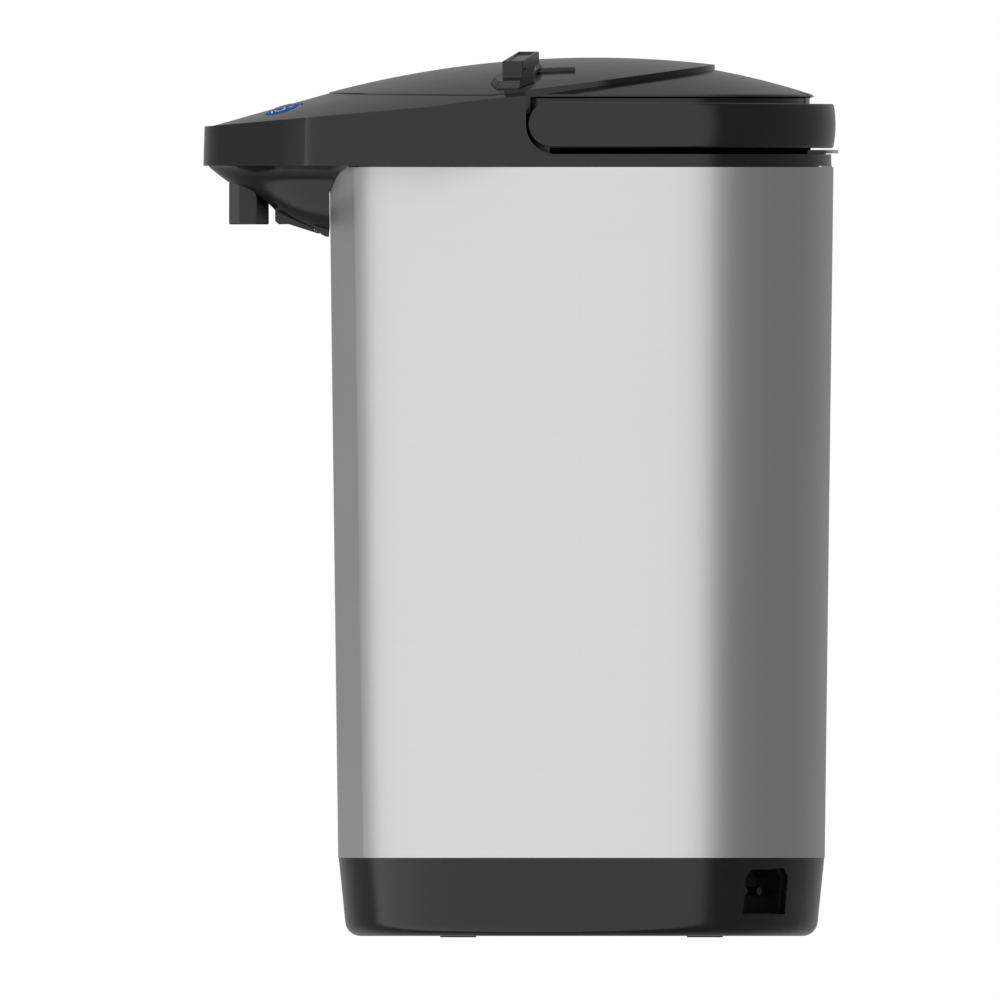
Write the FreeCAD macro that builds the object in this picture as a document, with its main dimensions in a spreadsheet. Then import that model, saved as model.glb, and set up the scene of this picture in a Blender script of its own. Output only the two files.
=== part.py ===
import FreeCAD, Part
import math
import os
import re

import Sketcher
from FreeCAD import Placement, Rotation, Vector

# Electric thermo pot of about 5 litres, in millimetres.
# Up is +Z, the spout faces -Y and X runs across the pot.
# Every piece is drawn about the pot's own axis and then moved along Y, so that the
# origin lies on the standing surface under the middle of the whole object.

SIZES = {
    # How far the hood stands out in front of the body's axis, and the lid tab behind it
    "front_reach": 147.5,
    "back_reach": 100.2,
    # Steel body
    "shell_foot": 31.0,
    "shell_top": 300.4,
    "shell_foot_radius": 94.9,
    "shell_top_radius": 98.3,
    "shell_wall": 0.6,
    # Base housing
    "foot_proud": 0.5,
    "base_foot_radius": 91.6,
    "base_top_inset": 0.2,
    "base_wall": 2.5,
    "base_rounding": 6.0,
    "base_lip_height": 6.0,
    "base_opening_radius": 78.0,
    "cover_ledge": 6.0,
    "foot_radius": 7.0,
    "foot_circle": 68.0,
    "screw_circle": 66.0,
    "screw_radius": 1.6,
    "screw_head_radius": 3.0,
    "screw_head_height": 1.2,
    # Mains inlet in the base, on the corner between the rear and the +X side
    "inlet_azimuth": 51.0,
    "inlet_width": 26.0,
    "inlet_height": 18.0,
    "inlet_foot": 9.0,
    "inlet_chamfer": 3.5,
    "inlet_depth": 17.0,
    "inlet_wall": 2.0,
    "inlet_pin_radius": 1.6,
    "inlet_pin_spacing": 9.0,
    "inlet_pin_length": 8.0,
    # Gauge panel down the front of the body
    "panel_face_half": 22.0,
    "panel_side_half": 42.0,
    "panel_wall": 2.0,
    "window_width": 14.0,
    "window_foot": 66.0,
    "window_gap": 0.1,
    "tube_radius": 4.5,
    "tube_bore": 3.3,
    "tube_clear": 0.3,
    # Inner pot
    "pot_radius": 80.0,
    "pot_wall": 1.0,
    "pot_foot": 52.0,
    "pot_flange": 1.7,
    "pot_rounding": 12.0,
    "pot_outlet_radius": 4.0,
    "gasket_height": 2.0,
    # Heater, thermostat, pump and motor under the pot
    "heater_radius": 38.0,
    "heater_height": 6.0,
    "heater_centre": 12.0,
    "thermostat_radius": 9.0,
    "thermostat_height": 8.0,
    "pump_centre": -58.0,
    "pump_radius": 17.0,
    "pump_wall": 2.5,
    "pump_foot": 26.0,
    "pump_height": 16.0,
    "pump_stub_radius": 6.0,
    "impeller_radius": 12.5,
    "impeller_height": 7.0,
    "impeller_blades": 6,
    "motor_radius": 14.0,
    "motor_height": 17.0,
    "magnet_radius": 12.0,
    "magnet_height": 3.4,
    "shaft_radius": 1.5,
    "shaft_clear": 0.05,
    "run_clear": 0.6,
    "hose_radius": 5.5,
    # Boards
    "board_thick": 1.6,
    "board_post": 5.0,
    "post_x": 45.0,
    "board_drop": 8.0,
    # Head: collar, hood and deck
    "side_half": 97.5,
    "nose_radius": 60.0,
    "nose_angle": 66.0,
    "cheek_angle": 60.0,
    "cheek_radius": 12.0,
    "draft": 0.03,
    "head_wall": 3.0,
    "head_lip_drop": 5.4,
    "head_lip_wall": 2.4,
    "collar_radius": 88.8,
    "well_radius": 77.5,
    "mouth_radius": 70.0,
    "wall_end": 21.7,
    "wall_end_rounding": 11.6,
    # Crowned form that the deck and the lid share
    "peak_y": 5.0,
    "long_radius": 400.0,
    "cross_radius": 350.0,
    "straight_from": -103.5,
    # Top edge of the side walls: a plane that rises from the nose to the rear
    # Control panel and its keys
    "panel_inset": 7.0,
    "panel_rear_radius": 101.6,
    "panel_half": 51.0,
    "panel_thick": 2.0,
    "button_x": 30.0,
    "button_y": -116.0,
    "button_half_width": 12.6,
    "button_half_depth": 7.3,
    "button_proud": 0.9,
    "button_travel": 1.5,
    "key_half_width": 7.0,
    "key_half_depth": 4.2,
    "key_gap": 0.35,
    "key_skirt": 2.6,
    "stem_radius": 1.6,
    "stem_length": 4.6,
    # Chin, nozzle and cup lever
    "chin_back": -84.0,
    "nozzle_front": -137.4,
    "nozzle_split": -127.5,
    "nozzle_back": -121.9,
    "nozzle_half": 8.0,
    "nozzle_rear_half": 5.0,
    "pocket_radius": 9.75,
    "pocket_centre": -128.1,
    "spout_y": -130.0,
    "spout_radius": 4.0,
    "spout_bore": 2.8,
    "lever_half": 4.0,
    "lever_gap": 0.5,
    "lever_pivot_y": -103.4,
    "lever_pin_radius": 0.8,
    "lever_swing": 5.0,
    # Lid
    "lid_gap": 0.4,
    "lid_lift": 0.3,
    "lid_proud": 0.3,
    "plug_radius": 72.0,
    "rim_radius": 89.0,
    "rim_edge_radius": 90.7,
    "rim_flare": 0.7,
    "dome_radius": 290.0,
    "cover_front_radius": 98.5,
    "cover_rear_radius": 92.0,
    "cover_rear_centre": -40.0,
    "cover_thick": 3.0,
    "inner_plate_radius": 69.5,
    "inner_plate_thick": 1.6,
    "lid_gasket_radius": 74.5,
    "hinge_y": 83.0,
    "hinge_pin_radius": 1.75,
    "hinge_half": 21.0,
    "ear_inner": 17.0,
    "ear_outer": 20.0,
    "ear_radius": 3.5,
    "notch_half": 36.0,
    # Air pump: push plate and bellows
    "plate_radius": 40.0,
    "plate_y": -2.5,
    "plate_gap": 0.4,
    "plate_travel": 12.0,
    "bellows_radius": 31.0,
    "bellows_fold": 5.0,
    "bellows_wall": 0.9,
    "bellows_folds": 6,
    # Release lever and latch
    "lens_front": -91.0,
    "lens_rear": -44.5,
    "lens_half": 34.0,
    "lens_widest": -76.0,
    "lens_gap": 0.35,
    "release_thick": 2.0,
    "release_pivot_y": -48.6,
    "release_pin_radius": 0.8,
    "latch_half": 9.0,
    "latch_depth": 17.0,
    "latch_height": 4.0,
    # Lock slider
    "slider_inner": 47.0,
    "slider_outer": 77.0,
    "slider_width": 8.2,
    "slider_y": -20.9,
    "slider_turn": 11.0,
    "slider_travel": 11.0,
    "track_depth": 1.5,
    "track_inner": 50.0,
    "track_outer": 75.0,
    "track_rear": -2.5,
    # Carrying handle
    "handle_pivot_y": -11.9,
    "handle_end_radius": 9.0,
    "handle_inner": 92.0,
    "handle_outer": 98.4,
    "handle_bulge": 0.7,
    "handle_pin_radius": 4.0,
    "handle_pin_clear": 0.05,
    "handle_relief": 1.5,
    # Lid tab at the rear
    "tab_half": 11.0,
    "tab_thick": 1.4,
    "tab_travel": 3.0,
    "tab_guide": 3.0,
}

# Heights above the top edge of the steel body, so that a taller or shorter pot carries its head along
RISES = {
    # Rim of the inner pot and top of the gauge window
    "pot_top": -4.9,
    "window_top": -16.4,
    # Head, its seats and its crowned form
    "head_foot": 0.5,
    "ring_top": 5.0,
    "seat_height": 20.6,
    "ledge_top": -0.4,
    "peak_z": 42.4,
    "wall_top_front": 15.8,
    "wall_top_rear": 26.8,
    # Nozzle, cup lever and spout pipe
    "nozzle_foot": -22.4,
    "pocket_top": -3.9,
    "lever_pivot_z": -24.2,
    "pipe_run": 7.2,
    # Lid, its hinge, latch and air pump
    "plug_foot": 1.6,
    "rim_edge": 27.5,
    "dome_top": 42.6,
    "hinge_z": 24.6,
    "notch_foot": 12.6,
    "plate_foot": 35.9,
    "well_foot": 5.6,
    "latch_foot": 22.2,
    # Lock slider and carrying handle
    "slider_inner_top": 45.1,
    "slider_outer_top": 38.2,
    "handle_pivot_z": 16.8,
    "handle_rear_top": 24.5,
    "handle_rear_foot": 7.4,
    # Reach of the tools that cut the head and lid
    "cut_foot": -50.4,
    "cut_top": 61.6,
}

DOC = FreeCAD.newDocument("thermo_pot")
SHEET = DOC.addObject("Spreadsheet::Sheet", "Sizes")
for row, (alias, number) in enumerate([*SIZES.items(), *RISES.items()], 1):
    SHEET.set(f"A{row}", alias)
    SHEET.set(f"B{row}", str(number))
    SHEET.setAlias(f"B{row}", alias)
DOC.recompute()


class Cells:
    """Reads a size from the sheet by its name, and a rise as its height above the floor."""

    def __getattr__(self, name):
        number = float(SHEET.get(name))
        return number + float(SHEET.get("shell_top")) if name in RISES else number


size = Cells()
PIECES = []
AXIS_Y = "(front_reach - back_reach) / 2"
X_AXIS, Y_AXIS, Z_AXIS = Vector(1, 0, 0), Vector(0, 1, 0), Vector(0, 0, 1)


def bound(text):
    """Expression text with every size name pointed at the sheet, and every rise at its height."""
    def pointed(word):
        if word[0] in RISES:
            return f"(Sizes.shell_top + Sizes.{word[0]})"
        return f"Sizes.{word[0]}" if word[0] in SIZES else word[0]
    return re.sub(r"[a-z][a-z_]+", pointed, text)


def value(text):
    """Number that an expression of sizes comes to."""
    return float(SHEET.evalExpression(bound(text)))


def keep(item, label, y="0"):
    """Names a finished piece and sets it about the pot's axis, or y further along."""
    item.Label = label
    item.setExpression(".Placement.Base.y", bound(f"{AXIS_Y} + {y}"))
    PIECES.append(item)
    return item


def formed(label, shape):
    """Piece whose shape is worked out from the sheet by solid geometry."""
    item = DOC.addObject("Part::Feature", label)
    item.Shape = shape if shape.Placement.isIdentity() else Part.makeCompound([shape])
    return keep(item, label)


def turned(label, corners):
    """Body turned about the vertical axis from an outline of (radius, height) expressions."""
    body = DOC.addObject("PartDesign::Body", label)
    sketch = body.newObject("Sketcher::SketchObject", f"{label}_outline")
    plane = next(item for item in body.Origin.OriginFeatures if item.Role == "XZ_Plane")
    sketch.AttachmentSupport = [(plane, "")]
    sketch.MapMode = "FlatFace"
    spots = [Vector(value(radius), value(height), 0) for radius, height in corners]
    for here, there in zip(spots, spots[1:] + spots[:1]):
        sketch.addGeometry(Part.LineSegment(here, there), False)
    for index in range(len(spots)):
        sketch.addConstraint(Sketcher.Constraint("Coincident", index, 2, (index + 1) % len(spots), 1))
    for index, (radius, height) in enumerate(corners):
        for kind, text, line in (("DistanceX", radius, -2), ("DistanceY", height, -1)):
            if text == "0":
                sketch.addConstraint(Sketcher.Constraint("PointOnObject", index, 1, line))
                continue
            rule = Sketcher.Constraint(kind, -1, 1, index, 1, value(text))
            number = sketch.addConstraint(rule)
            sketch.setExpression(f"Constraints[{number}]", bound(text))
    turn = body.newObject("PartDesign::Revolution", f"{label}_turn")
    turn.Profile = sketch
    turn.ReferenceAxis = (sketch, ["V_Axis"])
    turn.Angle = 360
    sketch.Visibility = False
    DOC.recompute()
    return body


def rounded(body, label, rounding, rims):
    """Fillet on the rims of a turned body, each given as (radius, height) expressions."""
    wanted = [(value(radius), value(height)) for radius, height in rims]
    names = []
    base = body.Tip
    for index, edge in enumerate(base.Shape.Edges, 1):
        if isinstance(edge.Curve, Part.Circle):
            here = (edge.Curve.Radius, edge.Curve.Center.z)
            if any(math.dist(here, there) < 1e-3 for there in wanted):
                names.append(f"Edge{index}")
    fillet = body.newObject("PartDesign::Fillet", label)
    fillet.Base = (base, names)
    fillet.setExpression("Radius", bound(rounding))
    DOC.recompute()
    return body


def cylinder_item(label, radius, height, spot):
    """Part cylinder on the sheet's sizes, its foot at a spot of three expressions."""
    item = DOC.addObject("Part::Cylinder", label)
    item.setExpression("Radius", bound(radius))
    item.setExpression("Height", bound(height))
    for letter, text in zip("xyz", spot):
        item.setExpression(f".Placement.Base.{letter}", bound(text))
    return item


def box_item(label, lengths, spot):
    """Part box on the sheet's sizes, its low corner at a spot of three expressions."""
    item = DOC.addObject("Part::Box", label)
    for side, text in zip(("Length", "Width", "Height"), lengths):
        item.setExpression(side, bound(text))
    for letter, text in zip("xyz", spot):
        item.setExpression(f".Placement.Base.{letter}", bound(text))
    return item


def tool_item(label, shape):
    """Shape that only serves to cut or join another item."""
    item = DOC.addObject("Part::Feature", label)
    item.Shape = shape
    return item


def cut_item(label, base, tool):
    item = DOC.addObject("Part::Cut", label)
    item.Base = base
    item.Tool = tool
    return item


def joined_item(label, items):
    item = DOC.addObject("Part::MultiFuse", label)
    item.Shapes = items
    return item


def group_item(label, items):
    item = DOC.addObject("Part::Compound", label)
    item.Links = items
    return item


def disc(radius, low, high, x=0.0, y=0.0):
    return Part.makeCylinder(radius, high - low, Vector(x, y, low))


def block(x_span, y_span, z_span):
    spans = (x_span, y_span, z_span)
    low = Vector(*[span[0] for span in spans])
    return Part.makeBox(*[span[1] - span[0] for span in spans], low)


def rod_across(radius, half, y, z, start=None):
    """Rod along X at a height, from -half (or start) to half."""
    first = -half if start is None else start
    return Part.makeCylinder(radius, half - first, Vector(first, y, z), X_AXIS)


def side_profile(points, x_low, x_high):
    """Plate with a side outline of (y, z) points, from x_low to x_high."""
    spots = [Vector(x_low, y, z) for y, z in points]
    return Part.Face(Part.makePolygon(spots + spots[:1])).extrude(Vector(x_high - x_low, 0, 0))


def spun(points, spot=None):
    """Solid turned about the vertical axis from (radius, height) points."""
    centre = spot or Vector(0, 0, 0)
    spots = [centre + Vector(radius, 0, height) for radius, height in points]
    return Part.Face(Part.makePolygon(spots + spots[:1])).revolve(centre, Z_AXIS, 360)


def oval(half_width, half_depth, low, high):
    """Upright oval block about the local origin."""
    long_half, short_half = max(half_width, half_depth), min(half_width, half_depth)
    edge = Part.Ellipse(Vector(0, 0, low), long_half, short_half).toShape()
    solid = Part.Face(Part.Wire([edge])).extrude(Vector(0, 0, high - low))
    if half_depth > half_width:
        solid.rotate(Vector(0, 0, 0), Z_AXIS, 90)
    return solid


def pipe(points, bend, radius):
    """Round rod along straight runs joined by tangent arcs of one bend radius."""
    edges = []
    start = points[0]
    for before, corner, after in zip(points, points[1:], points[2:]):
        inward, outward = (before - corner).normalize(), (after - corner).normalize()
        half = inward.getAngle(outward) / 2
        reach = bend / math.tan(half)
        first, last = corner + inward * reach, corner + outward * reach
        middle_way = (inward + outward).normalize()
        middle = corner + middle_way * (bend / math.sin(half) - bend)
        edges.append(Part.LineSegment(start, first).toShape())
        edges.append(Part.Arc(first, middle, last).toShape())
        start = last
    edges.append(Part.LineSegment(start, points[-1]).toShape())
    ring = Part.Wire([Part.Circle(points[0], points[1] - points[0], radius).toShape()])
    return Part.Wire(edges).makePipeShell([ring], True, False)


# Crowned form of the deck and the lid: a shallow arc across, carried along a longer arc
# from the rear and straight on down the front deck.

def slope_angle():
    return math.degrees(math.asin((size.peak_y - size.straight_from) / size.long_radius))


def crown_height(x, y, drop=0.0):
    """Height of the crowned form over a plan position."""
    hub = size.peak_z - size.long_radius
    run = y - size.peak_y
    if y >= size.straight_from:
        spine = hub + math.sqrt(size.long_radius ** 2 - run ** 2)
    else:
        slope = math.radians(slope_angle())
        spine = hub + size.long_radius * math.cos(slope) + (y - size.straight_from) * math.tan(slope)
    return spine - drop - size.cross_radius + math.sqrt(size.cross_radius ** 2 - x ** 2)


def under_crown(drop=0.0):
    """Solid that lies under the crowned form, lowered by a drop."""
    half, depth, front_run, rear_run = 125.0, 62.0, 70.0, 115.0
    top = Vector(0, size.peak_y, size.peak_z - drop)
    fall = size.cross_radius - math.sqrt(size.cross_radius ** 2 - half ** 2)
    left, right = top + Vector(-half, 0, -fall), top + Vector(half, 0, -fall)
    low_left, low_right = top + Vector(-half, 0, -depth), top + Vector(half, 0, -depth)
    edges = [Part.Arc(left, top, right).toShape(),
             Part.LineSegment(right, low_right).toShape(),
             Part.LineSegment(low_right, low_left).toShape(),
             Part.LineSegment(low_left, left).toShape()]
    section = Part.Face(Part.Wire(edges))
    hub = Vector(0, size.peak_y, size.peak_z - size.long_radius)
    front = slope_angle()
    rear = math.degrees(math.asin(rear_run / size.long_radius))
    start, end = section.copy(), section.copy()
    start.rotate(hub, X_AXIS, -rear)
    end.rotate(hub, X_AXIS, front)
    slope = math.radians(front)
    ahead = Vector(0, -math.cos(slope), -math.sin(slope)) * front_run
    return start.revolve(hub, X_AXIS, rear + front).fuse(end.extrude(ahead)).removeSplitter()


def deck_place(x, y, drop=0.0):
    """Placement with its Z square to the deck at a plan position."""
    roll = math.degrees(math.asin(x / size.cross_radius))
    turn = Rotation(X_AXIS, slope_angle()).multiply(Rotation(Y_AXIS, roll))
    return Placement(Vector(x, y, crown_height(x, y, drop)), turn)


def on_deck(shape, x, y, drop=0.0):
    shape.Placement = deck_place(x, y, drop).multiply(shape.Placement)
    return shape


# Base: housing, bottom cover, feet and screws

def inlet_prism(width, height, foot, chamfer, from_radius, to_radius):
    """Block for the mains inlet, its two top corners cut off, laid along the inlet's radius."""
    half = width / 2
    top = foot + height
    corners = [(-half, foot), (half, foot), (half, top - chamfer),
               (half - chamfer, top), (chamfer - half, top), (-half, top - chamfer)]
    spots = [Vector(from_radius, across, up) for across, up in corners]
    solid = Part.Face(Part.makePolygon(spots + spots[:1])).extrude(Vector(to_radius - from_radius, 0, 0))
    solid.rotate(Vector(0, 0, 0), Z_AXIS, size.inlet_azimuth)
    return solid


def make_base():
    rim = "shell_foot_radius - base_top_inset"
    lip = "shell_foot_radius - shell_wall - 0.4"
    inner = "shell_foot_radius - shell_wall - 0.4 - base_wall"
    body = turned("base_ring", [
        ("base_opening_radius", "foot_proud"),
        ("base_foot_radius", "foot_proud"),
        (rim, "shell_foot"),
        (lip, "shell_foot"),
        (lip, "shell_foot + base_lip_height"),
        (inner, "shell_foot + base_lip_height"),
        (inner, "shell_foot - base_wall"),
        ("base_foot_radius - base_wall", "foot_proud + base_wall + base_rounding"),
        ("base_foot_radius - base_wall - base_rounding / 2", "foot_proud + base_wall"),
        ("base_opening_radius", "foot_proud + base_wall")])
    rounded(body, "base_ring_foot", "base_rounding", [("base_foot_radius", "foot_proud")])
    window = inlet_prism(size.inlet_width, size.inlet_height, size.inlet_foot, size.inlet_chamfer, 80, 100)
    clear = size.panel_side_half + 1.5
    behind_panel = block((-clear, clear), (-110, -80), (size.shell_foot, size.shell_foot + 20))
    openings = tool_item("base_openings", Part.makeCompound([window, behind_panel]))
    keep(cut_item("base_housing", body, openings), "base_housing")


def quarter_spots(circle, start):
    """Four plan positions on a circle, as (x, y) expressions, from a start angle."""
    return [(f"{circle} * cos({start + 90 * turn})", f"{circle} * sin({start + 90 * turn})")
            for turn in range(4)]


def make_bottom_cover():
    body = turned("cover_disc", [
        ("0", "foot_proud"),
        ("base_opening_radius - 0.3", "foot_proud"),
        ("base_opening_radius - 0.3", "foot_proud + base_wall"),
        ("base_opening_radius + cover_ledge", "foot_proud + base_wall"),
        ("base_opening_radius + cover_ledge", "foot_proud + base_wall + 1.7"),
        ("base_opening_radius - base_wall", "foot_proud + base_wall + 1.7"),
        ("base_opening_radius - base_wall", "foot_proud + base_wall"),
        ("0", "foot_proud + base_wall")])
    posts = [cylinder_item(f"board_post_{number}", "2.5", "board_post", (x, y, "foot_proud + base_wall"))
             for number, (x, y) in enumerate(board_posts())]
    joined = joined_item("cover_with_posts", [body] + posts)
    spots = quarter_spots("screw_circle", 22)
    holes = [cylinder_item(f"screw_hole_{number}", "screw_radius", "base_wall", (x, y, "foot_proud"))
             for number, (x, y) in enumerate(spots)]
    holes += [cylinder_item(f"screw_seat_{number}", "screw_head_radius", "screw_head_height + 0.3",
                            (x, y, "foot_proud")) for number, (x, y) in enumerate(spots)]
    keep(cut_item("bottom_cover", joined, joined_item("screw_holes", holes)), "bottom_cover")


def board_posts():
    """Posts under the four corners of the power board."""
    return [(x, y) for x in ("-31", "31") for y in ("32", "58")]


def make_feet_and_screws():
    feet = [cylinder_item(f"foot_{number}", "foot_radius", "foot_proud", (x, y, "0"))
            for number, (x, y) in enumerate(quarter_spots("foot_circle", 45))]
    keep(group_item("base_feet", feet), "base_feet")
    screws = []
    for number, (x, y) in enumerate(quarter_spots("screw_circle", 22)):
        head = cylinder_item(f"screw_head_{number}", "screw_head_radius", "screw_head_height",
                             (x, y, "foot_proud + 0.3"))
        shank = cylinder_item(f"screw_shank_{number}", "screw_radius", "base_wall - 0.3",
                              (x, y, "foot_proud + 0.3"))
        screws.append(joined_item(f"screw_{number}", [head, shank]))
    keep(group_item("base_screws", screws), "base_screws")


def make_inlet():
    """Socket behind the window in the base, with its two contact pins."""
    wall = size.inlet_wall
    outer_width, outer_height = size.inlet_width + 2 * wall, size.inlet_height + 2 * wall
    back = size.base_foot_radius - size.inlet_depth
    mouth = size.base_foot_radius - 0.5
    shell = inlet_prism(outer_width, outer_height, size.inlet_foot - wall, size.inlet_chamfer + 0.6, back, mouth)
    hollow = inlet_prism(size.inlet_width - 1, size.inlet_height - 1, size.inlet_foot + 0.5,
                         size.inlet_chamfer, back + 3, mouth + 1)
    housing = shell.cut(hollow).cut(DOC.getObject("base_ring").Shape)
    middle = size.inlet_foot + size.inlet_height / 2
    pins = []
    for side in (-1, 1):
        pin = Part.makeCylinder(size.inlet_pin_radius, size.inlet_pin_length + 6,
                                Vector(back - 3, side * size.inlet_pin_spacing / 2, middle), X_AXIS)
        pin.rotate(Vector(0, 0, 0), Z_AXIS, size.inlet_azimuth)
        housing = housing.cut(pin)
        pins.append(pin)
    formed("inlet_housing", housing)
    formed("inlet_pins", Part.makeCompound(pins))


# Body: steel shell, gauge panel, window and level tube

def shell_radius(height):
    """Outside radius of the tapered steel body at a height."""
    share = (height - size.shell_foot) / (size.shell_top - size.shell_foot)
    return size.shell_foot_radius + share * (size.shell_top_radius - size.shell_foot_radius)


def panel_outline(height, inset, behind):
    """Faceted plan of the gauge panel at a height, moved inwards and run on behind."""
    radius = shell_radius(height) - inset
    side, face = size.panel_side_half - 1.2 * inset, size.panel_face_half - 0.4 * inset
    back = -math.sqrt(shell_radius(height) ** 2 - size.panel_side_half ** 2) + behind
    corners = [(-side, back), (-side, back - behind), (-face, -radius),
               (face, -radius), (side, back - behind), (side, back)]
    spots = [Vector(x, y, height) for x, y in corners]
    return Part.makePolygon(spots + spots[:1])


def panel_block(inset, behind, low, high):
    return Part.makeLoft([panel_outline(low, inset, behind), panel_outline(high, inset, behind)], True, True)


def make_body():
    outer = panel_block(0, 0.01, size.shell_foot, size.shell_top)
    body = turned("shell_tube", [
        ("shell_foot_radius - shell_wall", "shell_foot"),
        ("shell_foot_radius", "shell_foot"),
        ("shell_top_radius", "shell_top"),
        ("shell_top_radius - shell_wall", "shell_top")])
    opening = box_item("panel_opening", ("2 * panel_side_half", "40", "shell_top"),
                       ("-panel_side_half", "-120", "shell_foot - 1"))
    keep(cut_item("body_shell", body, opening), "body_shell")

    inner = panel_block(size.panel_wall, 3, size.shell_foot - 1, size.shell_top + 1)
    panel = outer.cut(inner)
    half = size.window_width / 2
    slot = block((-half, half), (-110, -90), (size.window_foot, size.window_top))
    formed("gauge_panel", panel.cut(slot))
    half -= size.window_gap
    pane = block((-half, half), (-110, -90), (size.window_foot + size.window_gap,
                                              size.window_top - size.window_gap))
    formed("gauge_window", panel.common(pane))


def tube_y():
    """Middle of the level tube, just clear of the inner pot's flange."""
    return -(size.pot_radius + size.pot_flange + size.tube_clear + size.tube_radius)


def make_level_tube():
    foot, top = 60.0, size.pot_top - 4
    outside, bore = disc(size.tube_radius, foot, top, y=tube_y()), disc(size.tube_bore, foot, top, y=tube_y())
    formed("level_tube", outside.cut(bore))


# Water path: pot, gasket, heater, pump, hoses and spout

def make_pot():
    body = turned("pot_bowl", [
        ("0", "pot_foot"),
        ("pot_radius", "pot_foot"),
        ("pot_radius", "pot_top - pot_wall"),
        ("pot_radius + pot_flange", "pot_top - pot_wall"),
        ("pot_radius + pot_flange", "pot_top"),
        ("pot_radius - pot_wall", "pot_top"),
        ("pot_radius - pot_wall", "pot_foot + pot_wall"),
        ("0", "pot_foot + pot_wall")])
    rounded(body, "pot_corner", "pot_rounding", [("pot_radius", "pot_foot")])
    rounded(body, "pot_corner_inside", "pot_rounding - pot_wall",
            [("pot_radius - pot_wall", "pot_foot + pot_wall")])
    outlet = cylinder_item("pot_outlet", "pot_outlet_radius", "pot_wall * 3",
                           ("0", "pump_centre", "pot_foot - pot_wall"))
    keep(cut_item("inner_pot", body, outlet), "inner_pot")
    keep(turned("pot_gasket", [
        ("pot_radius - 4", "pot_top"),
        ("pot_radius + pot_flange", "pot_top"),
        ("pot_radius + pot_flange", "pot_top + gasket_height"),
        ("pot_radius - 4", "pot_top + gasket_height")]), "pot_gasket")


def make_heater():
    heater = turned("heater_disc", [
        ("0", "pot_foot - heater_height"),
        ("heater_radius - 3", "pot_foot - heater_height"),
        ("heater_radius", "pot_foot - heater_height + 2"),
        ("heater_radius", "pot_foot"),
        ("0", "pot_foot")])
    keep(heater, "heater_plate", "heater_centre")
    thermostat = turned("thermostat_can", [
        ("0", "pot_foot - heater_height - thermostat_height"),
        ("thermostat_radius - 2", "pot_foot - heater_height - thermostat_height"),
        ("thermostat_radius - 2", "pot_foot - heater_height - 4"),
        ("thermostat_radius", "pot_foot - heater_height - 4"),
        ("thermostat_radius", "pot_foot - heater_height"),
        ("0", "pot_foot - heater_height")])
    keep(thermostat, "thermostat", "heater_centre")


def make_pump():
    motor_top = "foot_proud + base_wall + motor_height"
    motor = turned("motor_can", [
        ("shaft_radius + shaft_clear", "foot_proud + base_wall + 2"),
        ("shaft_radius + shaft_clear", motor_top),
        ("motor_radius - 3", motor_top),
        ("motor_radius", f"{motor_top} - 2"),
        ("motor_radius", "foot_proud + base_wall"),
        ("0", "foot_proud + base_wall"),
        ("0", "foot_proud + base_wall + 2")])
    keep(motor, "pump_motor", "pump_centre")
    magnet_foot = f"{motor_top} + run_clear"
    magnet = turned("magnet_disc", [
        ("0", "foot_proud + base_wall + 3"),
        ("shaft_radius", "foot_proud + base_wall + 3"),
        ("shaft_radius", magnet_foot),
        ("magnet_radius", magnet_foot),
        ("magnet_radius", f"{magnet_foot} + magnet_height"),
        ("0", f"{magnet_foot} + magnet_height")])
    keep(magnet, "drive_magnet", "pump_centre")

    chamber = "pump_radius - pump_wall"
    floor, roof = "pump_foot + pump_wall", "pump_foot + pump_height - pump_wall"
    case = turned("pump_case", [
        ("0", "pump_foot"),
        ("motor_radius + 0.4", "pump_foot"),
        ("motor_radius + 0.4", f"{motor_top} - 2"),
        ("pump_radius", f"{motor_top} - 2"),
        ("pump_radius", "pump_foot + pump_height"),
        ("pump_stub_radius", "pump_foot + pump_height"),
        ("pump_stub_radius", "pot_foot"),
        ("pot_outlet_radius", "pot_foot"),
        ("pot_outlet_radius", roof),
        (chamber, roof),
        (chamber, floor),
        ("shaft_radius", floor),
        ("shaft_radius", f"{floor} + impeller_height"),
        ("0", f"{floor} + impeller_height")])
    outlet_z = "pump_foot + pump_height / 2"
    bore = DOC.addObject("Part::Cylinder", "pump_outlet_bore")
    bore.setExpression("Radius", bound("tube_bore"))
    bore.setExpression("Height", bound("pump_radius + 6"))
    bore.Placement = Placement(Vector(0, 0, 0), Rotation(X_AXIS, 90))
    bore.setExpression(".Placement.Base.z", bound(outlet_z))
    keep(cut_item("pump_housing", case, bore), "pump_housing", "pump_centre")
    make_impeller()
    make_outlet_hose(value(outlet_z))


def make_impeller():
    """Hub with blades that sweep back as they run out."""
    foot = size.pump_foot + size.pump_wall + size.run_clear
    top = foot + size.impeller_height - 2 * size.run_clear
    centre = Vector(0, size.pump_centre, 0)
    solid = disc(size.impeller_radius, foot, foot + 1.5).fuse(disc(4.2, foot, top))
    for blade in range(int(size.impeller_blades)):
        arc_out = Part.Arc(Vector(3.5, -0.6, foot), Vector(8, 1.3, foot), Vector(12, 5.0, foot)).toShape()
        arc_in = Part.Arc(Vector(11.2, 5.9, foot), Vector(7.6, 2.4, foot), Vector(3.5, 0.6, foot)).toShape()
        ends = [Part.LineSegment(Vector(12, 5.0, foot), Vector(11.2, 5.9, foot)).toShape(),
                Part.LineSegment(Vector(3.5, 0.6, foot), Vector(3.5, -0.6, foot)).toShape()]
        vane = Part.Face(Part.Wire([arc_out, ends[0], arc_in, ends[1]])).extrude(Vector(0, 0, top - foot))
        vane.rotate(Vector(0, 0, 0), Z_AXIS, 360 * blade / size.impeller_blades)
        solid = solid.fuse(vane)
    solid = solid.cut(disc(size.shaft_radius + size.shaft_clear, foot, top)).removeSplitter()
    solid.translate(centre)
    formed("impeller", solid)


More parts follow.
